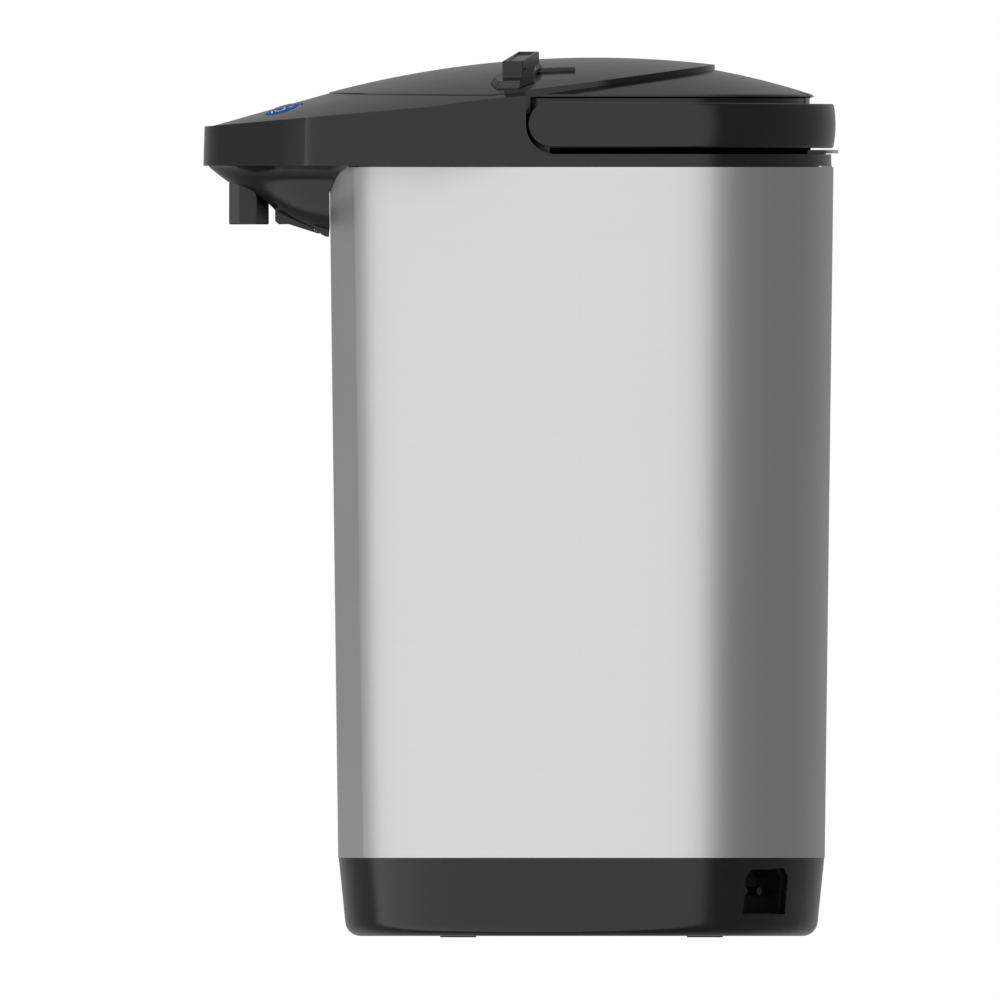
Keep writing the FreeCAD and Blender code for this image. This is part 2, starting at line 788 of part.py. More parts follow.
def make_outlet_hose(outlet_height):
    """Silicone hose from the pump's side up to the foot of the level tube."""
    start = Vector(0, size.pump_centre - size.pump_radius, outlet_height)
    corner = Vector(0, tube_y(), outlet_height)
    end = Vector(0, tube_y(), 60)
    bend = min(8.0, start.y - corner.y - 1)
    outside = pipe([start, corner, end], bend, size.hose_radius)
    formed("pump_hose", outside.cut(pipe([start, corner, end], bend, size.tube_bore)))


def make_spout_pipe():
    """Pipe from the top of the level tube, over through the hood and down into the nozzle."""
    low, run = size.pot_top - 4, size.pipe_run
    points = [Vector(0, tube_y(), low), Vector(0, tube_y(), run),
              Vector(0, size.spout_y, run), Vector(0, size.spout_y, size.nozzle_foot + 3)]
    outside = pipe(points, 9.0, size.spout_radius)
    formed("spout_pipe", outside.cut(pipe(points, 9.0, size.spout_bore)))


# Head: hood, collar and deck in one moulding

def hood_outline(inset, height):
    """Closed plan of the head: straight sides, rounded cheeks, bowed front and blunt nose."""
    cheek, nose = math.radians(size.cheek_angle), math.radians(size.nose_angle)
    reach = size.side_half - size.cheek_radius
    bow_radius = ((reach - size.nose_radius * math.cos(nose) + size.cheek_radius * math.cos(cheek))
                  / (math.cos(cheek) - math.cos(nose)))

    def away(angle):
        return Vector(math.cos(angle), -math.sin(angle), 0)

    nose_hub = Vector(0, size.nose_radius - size.front_reach, height)
    bow_hub = nose_hub - away(nose) * (bow_radius - size.nose_radius)
    cheek_hub = bow_hub + away(cheek) * (bow_radius - size.cheek_radius)

    def arc(hub, radius, start, end, side=1):
        spots = [hub + away(angle) * (radius - inset) for angle in (start, (start + end) / 2, end)]
        if side < 0:
            spots = [Vector(-spot.x, spot.y, spot.z) for spot in reversed(spots)]
        return Part.Arc(*spots).toShape()

    half = size.side_half - inset
    right_start, right_end = Vector(half, 0, height), Vector(half, cheek_hub.y, height)
    left_start, left_end = Vector(-half, cheek_hub.y, height), Vector(-half, 0, height)
    nose_arc = Part.Arc(nose_hub + away(nose) * (size.nose_radius - inset),
                        nose_hub + Vector(0, inset - size.nose_radius, 0),
                        nose_hub + away(math.pi - nose) * (size.nose_radius - inset)).toShape()
    edges = [Part.LineSegment(right_start, right_end).toShape(),
             arc(cheek_hub, size.cheek_radius, 0, cheek),
             arc(bow_hub, bow_radius, cheek, nose),
             nose_arc,
             arc(bow_hub, bow_radius, cheek, nose, -1),
             arc(cheek_hub, size.cheek_radius, 0, cheek, -1),
             Part.LineSegment(left_start, left_end).toShape(),
             Part.Arc(left_end, Vector(0, half, height), right_start).toShape()]
    return Part.Wire(edges)


def hood_block(inset, low, high):
    """Drafted block over the head's plan; its walls lean in as they rise."""
    def lean(height):
        return inset + size.draft * (height - size.head_foot)
    return Part.makeLoft([hood_outline(lean(low), low), hood_outline(lean(high), high)], True, True)


def lid_plan(gap, low, high):
    """Plan of the raised cover: a front circle about the pot's axis trimmed by a rear circle."""
    front = disc(size.cover_front_radius + gap, low, high)
    return front.common(disc(size.cover_rear_radius + gap, low, high, y=size.cover_rear_centre))


def handle_channel():
    """Space that the handle lies in: outside the collar, above the ring, behind the side walls."""
    end, rounding, foot = -size.wall_end, size.wall_end_rounding, size.ring_top
    hub = Vector(-130, end + rounding, foot + rounding)
    first, last = Vector(-130, end, foot + rounding), Vector(-130, end + rounding, foot)
    middle = hub + Vector(0, -rounding, -rounding) * math.sqrt(0.5)
    top = size.cut_top
    edges = [Part.Arc(first, middle, last).toShape(),
             Part.LineSegment(last, Vector(-130, 130, foot)).toShape(),
             Part.LineSegment(Vector(-130, 130, foot), Vector(-130, 130, top)).toShape(),
             Part.LineSegment(Vector(-130, 130, top), Vector(-130, end, top)).toShape(),
             Part.LineSegment(Vector(-130, end, top), first).toShape()]
    return Part.Face(Part.Wire(edges)).extrude(Vector(260, 0, 0)).cut(disc(size.collar_radius, size.cut_foot, top))


def panel_plan(gap, low, high):
    """Plan of the control panel between the bowed front and the arc before the lid."""
    front = hood_block(size.panel_inset - gap, low, high)
    half = size.panel_half + gap
    span = block((-half, half), (-160, -60), (low, high))
    return front.common(span).cut(disc(size.panel_rear_radius - gap, low, high))


def head_lip():
    """Rim that reaches down inside the steel body and carries the pot's gasket."""
    outer = size.shell_top_radius - size.shell_wall - 0.4
    foot, ledge = size.head_foot - size.head_lip_drop, size.pot_top + size.gasket_height
    rim = spun([(outer - size.head_lip_wall, foot), (outer, foot), (outer, size.head_foot),
                (size.mouth_radius, size.head_foot), (size.mouth_radius, ledge),
                (outer - size.head_lip_wall, ledge)])
    clear = size.panel_side_half + 2
    return rim.cut(block((-clear, clear), (-110, -84), (foot - 1, size.head_foot)))


def cheek_wedge():
    """Everything below the plane that carries the top edges of the side walls."""
    nose, rear = -size.front_reach, -size.wall_end
    rise = (size.wall_top_rear - size.wall_top_front) / (rear - nose)
    outline = [(nose - 5, size.head_foot), (nose - 5, size.wall_top_front - 5 * rise),
               (rear, size.wall_top_rear), (rear, size.head_foot)]
    return side_profile(outline, -size.side_half - 5, size.side_half + 5)


def make_head():
    top = size.cut_top
    hood = hood_block(0, size.head_foot, top)
    head = hood.common(under_crown()).fuse(hood.common(cheek_wedge())).removeSplitter()
    head = head.cut(handle_channel())
    recess = lid_plan(size.lid_gap, size.seat_height, top).fuse(
        disc(size.rim_edge_radius + size.lid_gap, size.seat_height, top))
    head = head.cut(recess).fuse(head_lip())
    head = head.cut(disc(size.well_radius, size.ledge_top, top))
    head = head.cut(disc(size.mouth_radius, size.pot_top, top))
    half = size.notch_half
    head = head.cut(block((-half, half), (size.hinge_y - 10, 100), (size.notch_foot, top)))

    hollow = hood_block(size.head_wall, size.head_foot + 2.6, top).common(under_crown(size.head_wall))
    keep_clear = disc(size.cover_front_radius + size.lid_gap + 2, size.head_foot, top)
    beyond = block((-120, 120), (-160, -100), (size.head_foot, top))
    head = head.cut(hollow.cut(keep_clear).common(beyond))
    head = head.cut(chin_passage())
    head = head.cut(panel_plan(0.15, size.head_foot + 5, top).cut(under_crown(size.panel_thick + 0.15)))
    for x, half_width, half_depth in key_list():
        shaft = oval(half_width + 0.9, half_depth + 0.9, -9, 6)
        head = head.cut(on_deck(shaft, x, size.button_y))
    fall = crown_height(0, size.button_y) - crown_height(size.post_x, size.button_y)
    for side in (-1, 1):
        post = on_deck(disc(2.2, fall - size.board_drop - 1, -2.5), side * size.post_x, size.button_y)
        head = head.fuse(post.cut(under_crown_top()).cut(below_board()))
    for side in (-1, 1):
        head = head.cut(handle_pin(side))
        head = head.fuse(tab_guide(side))
    head = head.cut(tab_slot())
    formed("head_housing", head.removeSplitter())


def below_board():
    """Everything below the plane that the control board's top lies in."""
    return on_deck(block((-60, 60), (-20, 20), (-size.board_drop - 20, -size.board_drop)), 0, size.button_y)


def under_crown_top():
    """Everything that stands above the deck's underside."""
    return block((-120, 120), (-160, 60), (size.cut_foot, size.cut_top)).cut(under_crown(size.panel_thick + 0.5))


def chin_passage():
    """Way for the spout pipe from the level tube through the head's floor and into the nozzle."""
    half = size.spout_radius + 1.5
    back = tube_y() + size.spout_radius + 1.2
    along = block((-half, half), (-110, back), (size.head_foot - 7, size.head_foot + 13.6))
    down = disc(half, size.head_foot - 1, size.head_foot + 6, y=size.spout_y)
    bend = block((-half, half), (size.spout_y, size.spout_y + 9), (size.head_foot - 1, size.head_foot + 6))
    return along.fuse(down).fuse(bend)


def make_rear_strip():
    """Bright metal lugs that show in the joint under the rear of the head."""
    ring = disc(size.shell_top_radius - 0.1, size.shell_top, size.head_foot)
    ring = ring.cut(disc(size.shell_top_radius - size.shell_wall - 0.35, size.shell_top, size.head_foot))
    lugs = [ring.common(block(span, (80, 110), (size.shell_top, size.head_foot)))
            for span in ((-30, -10), (10, 30))]
    formed("rear_strip", Part.makeCompound(lugs))


# Chin, nozzle and cup lever under the hood

def chin_section(height, half, nose):
    """Half-oval plan of the chin at a height."""
    back, count = size.chin_back, 12
    turns = [math.pi * step / count for step in range(count + 1)]
    spots = [Vector(half * math.cos(turn), back + (nose - back) * math.sin(turn), height) for turn in turns]
    curve = Part.BSplineCurve()
    curve.interpolate(spots)
    return Part.Wire([curve.toShape(), Part.LineSegment(spots[-1], spots[0]).toShape()])


def chin_form():
    sections = [(size.head_foot, 43.0, -145.4), (size.head_foot - 2.7, 31.0, -142.6), (size.head_foot - 7.9, 25.0, -135.6),
                (size.head_foot - 16.7, 18.5, -121.9), (size.head_foot - 27.7, 6.0, -99.6)]
    return Part.makeLoft([chin_section(*section) for section in sections], True, False)


def lever_outline(grow=0.0, swing=0.0):
    """Side outline of the cup lever, a nub behind the nozzle and a tail to its pivot, or of its slot."""
    points = [(-16.1 - grow, 8.4 + swing), (-16.1 - grow, 3.2), (-14.6, 1.8 - grow), (-10.8, 1.9 - grow),
              (0.8, -1.8 - grow), (2.2 + grow, -1.2), (2.2 + grow, 2.0 + grow), (-1.1, 2.8 + grow + swing / 4)]
    return [(size.lever_pivot_y + y, size.lever_pivot_z + z) for y, z in points]


def make_chin():
    chin = chin_form()
    wall = panel_block(-0.15, 6, size.shell_foot, size.head_foot + 2)
    body = disc(size.shell_top_radius + 0.2, size.cut_foot, size.head_foot + 2)
    chin = chin.cut(wall).cut(body)
    pocket = disc(size.pocket_radius, size.cut_foot, size.pocket_top, y=size.pocket_centre)
    bore = disc(size.spout_radius + 0.3, size.cut_foot, size.head_foot + 2, y=size.spout_y).fuse(
        block((-size.spout_radius, size.spout_radius), (size.spout_y, size.spout_y + 9),
              (size.head_foot - 1.2, size.head_foot + 2)))
    half = size.lever_half + size.lever_gap
    slot = side_profile(lever_outline(size.lever_gap, 2.2), -half, half)
    pin = rod_across(size.lever_pin_radius, 6.5, size.lever_pivot_y, size.lever_pivot_z)
    chin = chin.cut(pocket).cut(bore).cut(slot).cut(pin)
    formed("chin_cover", max(chin.Solids, key=lambda solid: solid.Volume))
    formed("lever_pin", pin)

    lever = side_profile(lever_outline(), -size.lever_half, size.lever_half)
    lever = lever.cut(rod_across(size.lever_pin_radius + size.shaft_clear, 7,
                                 size.lever_pivot_y, size.lever_pivot_z))
    formed("cup_lever", lever)


def make_nozzle():
    """Shield with a broad rounded front and a narrower back, round the spout pipe."""
    low, high = size.nozzle_foot, size.pocket_top
    front = block((-size.nozzle_half, size.nozzle_half), (size.nozzle_front, size.nozzle_split), (low, high))
    rear = block((-size.nozzle_rear_half, size.nozzle_rear_half),
                 (size.nozzle_split - 1, size.nozzle_back), (low, high))
    corners = [edge for edge in front.Edges
               if abs(edge.CenterOfMass.y - size.nozzle_front) < 1e-6
               and abs(abs(edge.CenterOfMass.x) - size.nozzle_half) < 1e-6]
    front = front.makeFillet(4.2, corners)
    solid = front.fuse(rear).common(disc(size.pocket_radius - 0.35, low, high, y=size.pocket_centre))
    bore = disc(size.spout_radius + 0.15, low - 1, high + 1, y=size.spout_y)
    flare = Part.makeCone(size.spout_radius + 1.2, size.spout_radius + 0.15, 3,
                          Vector(0, size.spout_y, low))
    formed("nozzle", solid.cut(bore).cut(flare).removeSplitter())


# Control panel, keys and board

def key_list():
    """Plan places and half sizes of the dispense button and the two small keys."""
    big = (size.button_x, size.button_half_width, size.button_half_depth)
    middle = (0.0, size.key_half_width, size.key_half_depth)
    far = (-size.button_x, size.button_half_width * 0.7, size.key_half_depth)
    return [big, middle, far]


def make_control_panel():
    plan = panel_plan(0, size.head_foot + 5, size.cut_top)
    panel = plan.common(under_crown()).cut(under_crown(size.panel_thick))
    for x, half_width, half_depth in key_list():
        hole = oval(half_width + size.key_gap, half_depth + size.key_gap, -8, 6)
        panel = panel.cut(on_deck(hole, x, size.button_y))
    lamp = on_deck(disc(1.6, -size.panel_thick - 2, 4), 12.5, size.button_y + 9)
    formed("indicator_lens", panel.common(lamp))
    formed("control_panel", panel.cut(lamp))


def key_shape(half_width, half_depth, proud):
    """Domed oval cap with a stem that reaches down to its switch."""
    swell = half_width ** 2 / (2 * proud) + proud / 2
    cap = oval(half_width, half_depth, -size.key_skirt, proud)
    ball = Part.makeSphere(swell, Vector(0, 0, proud - swell))
    cap = cap.common(ball.fuse(oval(half_width, half_depth, -size.key_skirt, 0)))
    return cap.fuse(disc(size.stem_radius, -size.stem_length, -size.key_skirt)).removeSplitter()


def make_keys():
    for label, (x, half_width, half_depth) in zip(("dispense_button", "reboil_key", "lock_key"), key_list()):
        key = key_shape(half_width, half_depth, size.button_proud)
        formed(label, on_deck(key, x, size.button_y))


def make_control_board():
    """Board on the hood's posts, with a switch under each key."""
    top = -size.board_drop
    half = size.post_x + 3
    board = block((-half, half), (-7.5, 7.5), (top - size.board_thick, top))
    board = on_deck(board, 0, size.button_y)
    for x, half_width, half_depth in key_list():
        reach = crown_height(0, size.button_y) - crown_height(x, size.button_y)
        lift = -size.stem_length - size.button_travel - 0.3 - reach
        switch = block((x - 3, x + 3), (-3, 3), (top, lift))
        board = board.fuse(on_deck(switch, 0, size.button_y))
    chip = block((-40, -28), (-6, 4), (top - size.board_thick - 1.4, top - size.board_thick))
    board = board.fuse(on_deck(chip, 0, size.button_y))
    formed("control_board", board.removeSplitter())


def make_power_board():
    foot = size.foot_proud + size.base_wall + size.board_post
    top = foot + size.board_thick
    board = block((-36, 36), (27, 63), (foot, top))
    parts = [block((-30, -8), (38, 60), (top, top + 16)), block((8, 22), (30, 44), (top, top + 9)),
             disc(5, top, top + 14, x=28, y=54), disc(4, top, top + 11, x=2, y=54)]
    for part in parts:
        board = board.fuse(part)
    formed("power_board", board.removeSplitter())


# Lid

def make_lid_base():
    dome = size.dome_radius
    edge = size.rim_edge_radius
    hub = size.dome_top - dome
    shoulder = hub + math.sqrt(dome ** 2 - (edge - 0.8) ** 2)
    middle = hub + math.sqrt(dome ** 2 - (edge / 2) ** 2)
    spots = [Vector(0, 0, size.plug_foot), Vector(size.plug_radius, 0, size.plug_foot),
             Vector(size.plug_radius, 0, size.seat_height + size.lid_lift),
             Vector(size.rim_radius, 0, size.seat_height + size.lid_lift),
             Vector(size.rim_radius, 0, size.rim_edge - size.rim_flare),
             Vector(edge, 0, size.rim_edge), Vector(edge - 0.8, 0, shoulder)]
    edges = [Part.LineSegment(here, there).toShape() for here, there in zip(spots, spots[1:])]
    top = Vector(0, 0, size.dome_top)
    edges.append(Part.Arc(spots[-1], Vector(edge / 2, 0, middle), top).toShape())
    edges.append(Part.LineSegment(top, spots[0]).toShape())
    base = Part.Face(Part.Wire(edges)).revolve(Vector(0, 0, 0), Z_AXIS, 360)

    above = lid_plan(0.1, size.seat_height, size.cut_top).cut(under_crown(size.cover_thick - size.lid_proud + 0.1))
    base = base.cut(above).cut(cover_skirt())
    base = base.cut(disc(size.plate_radius + 1, size.well_foot, size.cut_top, y=size.plate_y))
    for side in (-1, 1):
        inner, outer = sorted((side * (size.ear_inner - 0.4), side * (size.ear_outer + 0.4)))
        base = base.cut(block((inner, outer), (size.hinge_y - 5.5, 100), (size.seat_height, size.hinge_z + 4.6)))
    base = base.cut(rod_across(size.hinge_pin_radius + size.shaft_clear, size.hinge_half + 1,
                               size.hinge_y, size.hinge_z))
    base = base.cut(latch_tunnel()).cut(release_well())
    base = base.cut(disc(8.5, size.plug_foot, size.cut_top, y=62)).removeSplitter()
    formed("lid_base", base)


def cover_skirt():
    """Front wall of the raised cover, down to just above the seat."""
    low = size.seat_height + size.lid_lift
    ring = lid_plan(0, low, size.cut_top).cut(lid_plan(-size.cover_thick, low - 1, size.cut_top + 1))
    return ring.common(block((-120, 120), (-120, -20), (low, size.cut_top)))


def lens_plan(gap, low, high):
    """Lens shape of the release lever between two arcs."""
    half = size.lens_half
    front_depth, rear_depth = size.lens_widest - size.lens_front, size.lens_rear - size.lens_widest
    front_radius = (half ** 2 + front_depth ** 2) / (2 * front_depth)
    rear_radius = (half ** 2 + rear_depth ** 2) / (2 * rear_depth)
    front = disc(front_radius + gap, low, high, y=size.lens_front + front_radius)
    return front.common(disc(rear_radius + gap, low, high, y=size.lens_rear - rear_radius))


def slider_turned(shape):
    shape.rotate(Vector(size.slider_inner, size.slider_y, 0), Z_AXIS, -size.slider_turn)
    return shape


def slider_foot(gap, low, high):
    """Plan block of the slider's foot, turned with it."""
    half = size.slider_width / 2 + gap
    x_span = (size.track_inner + 2.5 - gap, size.track_outer - 2.5 + gap)
    return slider_turned(block(x_span, (size.slider_y - half, size.slider_y + half), (low, high)))


def slider_track():
    """Shallow slot in the cover that the lock slider runs along."""
    track = block((size.track_inner, size.track_outer), (size.slider_y - 2, size.track_rear), (size.seat_height - 1, size.cut_top))
    return track.fuse(slider_foot(0.5, size.seat_height - 1, size.cut_top)).cut(under_crown(size.track_depth - size.lid_proud))


def make_lid_cover():
    cover = lid_plan(0, size.seat_height, size.cut_top).common(under_crown(-size.lid_proud))
    cover = cover.cut(under_crown(size.cover_thick - size.lid_proud))
    cover = cover.fuse(cover_skirt().common(under_crown(-size.lid_proud)))
    cover = cover.cut(disc(size.plate_radius, size.cut_foot, size.cut_top, y=size.plate_y))
    cover = cover.cut(lens_plan(0, size.cut_foot, size.cut_top)).cut(slider_track())
    cover = cover.cut(rod_across(size.release_pin_radius, 19, size.release_pivot_y, release_pivot_z()))
    formed("lid_cover", cover.cut(latch_tunnel()).removeSplitter())


def make_push_plate():
    plate = disc(size.plate_radius - size.plate_gap, size.plate_foot, size.cut_top, y=size.plate_y)
    formed("push_plate", plate.common(under_crown(-size.lid_proud)))


def make_bellows():
    """Round rubber bellows under the push plate, folded like a concertina."""
    foot, top = size.well_foot + 0.1, size.plate_foot - 0.1
    count = 2 * int(size.bellows_folds)
    step = (top - foot) / count
    outer, inner = size.bellows_radius, size.bellows_radius - size.bellows_fold
    outside = [(inner if turn % 2 == 0 else outer, foot + turn * step) for turn in range(count + 1)]
    wall = size.bellows_wall
    inside = [(radius - wall * 1.3, height) for radius, height in reversed(outside[1:-1])]
    inside = [(inner - wall * 1.3, top - wall)] + inside[1:-1] + [(inner - wall * 1.3, foot + wall)]
    points = outside + [(0, top), (0, top - wall)] + inside + [(0, foot + wall), (0, foot)]
    formed("bellows", spun(points, Vector(0, size.plate_y, 0)))


def release_pivot_z():
    return crown_height(0, size.release_pivot_y, 1.4 - size.lid_proud)


def make_release_lever():
    plate = lens_plan(-size.lens_gap, size.cut_foot, size.cut_top).common(under_crown(-size.lid_proud))
    plate = plate.cut(under_crown(size.release_thick - size.lid_proud))
    boss = rod_across(2.0, 11, size.release_pivot_y, release_pivot_z())
    plate = plate.fuse(boss.common(under_crown(-size.lid_proud)))
    bore = rod_across(size.release_pin_radius + size.shaft_clear, 30, size.release_pivot_y, release_pivot_z())
    formed("release_lever", plate.cut(bore).removeSplitter())
    formed("release_pin", rod_across(size.release_pin_radius, 19, size.release_pivot_y, release_pivot_z()))


def release_well():
    """Room in the lid under the release lever's pivot."""
    return block((-15, 15), (-53, -43.5), (size.cut_foot, size.cut_top)).common(
        under_crown(size.cover_thick - size.lid_proud)).cut(under_crown(6.5))


def latch_tunnel():
    """Slot through the front of the lid that the latch bolt slides in."""
    half = size.latch_half + 0.3
    return block((-half, half), (-size.cover_front_radius - 2, -78.0),
                 (size.latch_foot - 0.3, size.latch_foot + size.latch_height + 0.3))


def make_latch():
    """Bolt behind the lid's front edge, with a sloped nose."""
    front = -size.cover_front_radius + 0.3
    low, high = size.latch_foot, size.latch_foot + size.latch_height
    outline = [(front, high), (front, high - 1.6), (front + 2.2, low), (front + size.latch_depth, low),
               (front + size.latch_depth, high)]
    formed("latch_bolt", side_profile(outline, -size.latch_half, size.latch_half))


def slider_shape():
    """Rib across the lid with a hollow top that falls outwards, on a foot in its track."""
    half = size.slider_width / 2
    y = size.slider_y
    inner, outer = size.slider_inner, size.slider_outer
    base = size.track_depth - size.lid_proud
    low_in, low_out = crown_height(inner, y) - 1, crown_height(outer + 9, y) + 0.7
    spots = [Vector(inner, 0, low_in), Vector(inner + 1.2, 0, size.slider_inner_top)]
    first, last = spots[-1], Vector(outer, 0, size.slider_outer_top)
    hollow = (first + last) * 0.5 - Vector(0, 0, 0.7)
    foot_end = Vector(outer + 9, 0, low_out)
    edges = [Part.LineSegment(spots[0], first).toShape(), Part.Arc(first, hollow, last).toShape(),
             Part.LineSegment(last, foot_end).toShape(), Part.LineSegment(foot_end, spots[0]).toShape()]
    rib = Part.Face(Part.Wire(edges)).extrude(Vector(0, 2 * half, 0))
    rib.translate(Vector(0, y - half, 0))
    flare = block((inner - 1.5, outer + 9), (y - half - 1.6, y + half + 1.6), (size.seat_height - 1, size.cut_top))
    lower = flare.common(under_crown(-size.lid_proud - 2.2)).cut(under_crown(-size.lid_proud - 0.3))
    rib = slider_turned(rib.fuse(lower)).cut(under_crown(-size.lid_proud - 0.3))
    foot = slider_foot(0, size.seat_height - 1, size.cut_top).common(under_crown(-size.lid_proud - 0.6)).cut(under_crown(base - 0.3))
    return rib.fuse(foot).removeSplitter()


def make_inner_lid():
    keep(turned("inner_lid_disc", [
        ("0", "plug_foot - inner_plate_thick"),
        ("inner_plate_radius - 6", "plug_foot - inner_plate_thick"),
        ("inner_plate_radius", "plug_foot - inner_plate_thick + 0.6"),
        ("inner_plate_radius", "plug_foot"),
        ("0", "plug_foot")]), "lid_inner_plate")
    keep(turned("lid_seal", [
        ("inner_plate_radius", "plug_foot - inner_plate_thick"),
        ("lid_gasket_radius", "plug_foot - inner_plate_thick"),
        ("lid_gasket_radius - 1", "plug_foot"),
        ("inner_plate_radius", "plug_foot")]), "lid_gasket")


def make_steam_vent():
    """Vent through the lid behind the push plate, its slots flush with the dome."""
    hub = size.dome_top - size.dome_radius
    vent = disc(8.3, size.plug_foot, size.cut_top, y=62)
    ball = Part.makeSphere(size.dome_radius, Vector(0, 0, hub))
    vent = vent.common(ball)
    for number in range(5):
        y = 62 - 5 + 2.5 * number
        vent = vent.cut(block((-5.5, 5.5), (y - 0.6, y + 0.6), (size.rim_edge + 2.1, size.cut_top)))
    formed("steam_vent", vent.cut(disc(5, size.plug_foot - 1, size.rim_edge + 0.1, y=62)))


# Hinge, carrying handle and rear tab

def make_hinge():
    y, z, foot = size.hinge_y, size.hinge_z, size.notch_foot
    bracket = block((-size.hinge_half, size.hinge_half), (y - 4.5, y + 3.6), (foot, foot + 2))
    for side in (-1, 1):
        low, high = sorted((side * size.ear_inner, side * size.ear_outer))
        ear = block((low, high), (y - size.ear_radius, y + size.ear_radius), (foot, z))
        ear = ear.fuse(rod_across(size.ear_radius, high, y, z, low))
        bracket = bracket.fuse(ear)
    pin = rod_across(size.hinge_pin_radius, size.hinge_half, y, z)
    formed("hinge_bracket", bracket.cut(pin).removeSplitter())
    formed("hinge_pin", pin)


def handle_pin(side):
    """Pivot of the carrying handle, set in the collar and reaching into the handle's end."""
    first, last = sorted((side * (size.well_radius + 4), side * (size.handle_outer - 2.2)))
    return rod_across(size.handle_pin_radius, last, size.handle_pivot_y, size.handle_pivot_z, first)


def make_handle():
    """Half ring of softly bulged section with rounded ends at its pivots."""
    inner, outer = size.handle_inner, size.handle_outer
    low, high = size.ring_top - 5.4, size.handle_pivot_z + 14.8
    middle = size.handle_pivot_z
    swell = Part.Arc(Vector(outer - 0.4, 0, low + 7), Vector(outer + size.handle_bulge, 0, middle),
                     Vector(outer - 0.4, 0, high - 5)).toShape()
    corners = [Vector(outer - 0.4, 0, high - 5), Vector(outer - 0.4, 0, high), Vector(inner, 0, high),
               Vector(inner, 0, low), Vector(outer - 0.4, 0, low), Vector(outer - 0.4, 0, low + 7)]
    edges = [swell] + [Part.LineSegment(here, there).toShape() for here, there in zip(corners, corners[1:])]
    ring = Part.Face(Part.Wire(edges)).revolve(Vector(0, 0, 0), Z_AXIS, 360)

    hub, radius = size.handle_pivot_y, size.handle_end_radius
    bar = side_profile([(hub, middle - radius), (110, size.handle_rear_foot - 0.1),
                        (110, size.handle_rear_top), (hub, middle + radius)], -110, 110)
    bar = bar.fuse(rod_across(radius, 110, hub, middle)).removeSplitter()
    handle = ring.common(bar)
    for side in (-1, 1):
        first, last = sorted((side * 80, side * (size.handle_outer - 2.0)))
        handle = handle.cut(rod_across(size.handle_pin_radius + size.handle_pin_clear, last,
                                       hub, middle, first))
    edges = [edge for edge in handle.Edges if edge.Length > 150]
    handle = handle.makeFillet(1.0, edges)
    relief = Part.makeCone(inner, inner + size.handle_relief, 3.4, Vector(0, 0, size.handle_rear_top - 2.6))
    formed("carry_handle", handle.cut(relief.common(block((-60, 60), (60, 110), (low, high)))))
    formed("handle_pins", Part.makeCompound([handle_pin(side) for side in (-1, 1)]))


def tab_guide(side):
    """Rail beside the rear tab, on the ring under the handle."""
    inner, outer = sorted((side * (size.tab_half + 0.4), side * (size.tab_half + 0.4 + size.tab_guide)))
    rail = block((inner, outer), (80, 110), (size.ring_top - 0.4, size.ring_top + size.tab_thick + 0.3))
    return rail.common(disc(size.shell_top_radius - 2.4, size.cut_foot, size.cut_top)).cut(disc(size.well_radius + 5, size.cut_foot, size.cut_top))


def tab_slot():
    half = size.tab_half + 0.4
    return block((-half, half), (size.collar_radius - 6, size.collar_radius + 1),
                 (size.ring_top, size.ring_top + size.tab_thick + 0.7))


def make_tab():
    """Grey tab at the rear that frees the lid from its hinge."""
    low = size.ring_top + 0.3
    blade = block((-size.tab_half, size.tab_half), (size.collar_radius - 1.5, size.back_reach),
                  (low, low + size.tab_thick))
    corners = [edge for edge in blade.Edges
               if abs(edge.CenterOfMass.y - size.back_reach) < 1e-6
               and abs(abs(edge.CenterOfMass.x) - size.tab_half) < 1e-6]
    formed("detach_tab", blade.makeFillet(2.5, corners))


make_base()
make_bottom_cover()
make_feet_and_screws()
make_inlet()
make_body()
make_level_tube()
make_pot()
make_heater()
make_pump()
make_spout_pipe()
make_head()
make_rear_strip()
make_chin()
make_nozzle()
make_control_panel()
make_keys()
make_control_board()
make_power_board()
make_lid_base()
make_lid_cover()
make_push_plate()
make_bellows()
make_release_lever()
make_latch()
formed("lock_slider", slider_shape())
make_inner_lid()
make_steam_vent()
make_hinge()
make_handle()
make_tab()
DOC.recompute()

for item in DOC.Objects:
    if "Invalid" in item.State or "Error" in item.State:
        raise RuntimeError(f"{item.Label} did not build: {item.State}")
for piece in PIECES:
    if piece.Shape.isNull() or not piece.Shape.isValid() or not piece.Shape.Solids:
        raise RuntimeError(f"{piece.Label} is not a valid solid")

os.makedirs("parts", exist_ok=True)
for piece in PIECES:
    piece.Shape.exportStep(f"parts/{piece.Label}.step")
    box = piece.Shape.BoundBox
    print(f"{piece.Label:18s} {len(piece.Shape.Solids)} solid(s) {piece.Shape.Volume / 1000:9.2f} cm3 "
          f"x {box.XMin:7.1f} {box.XMax:7.1f} y {box.YMin:7.1f} {box.YMax:7.1f} z {box.ZMin:6.1f} {box.ZMax:6.1f}")
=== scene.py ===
import math

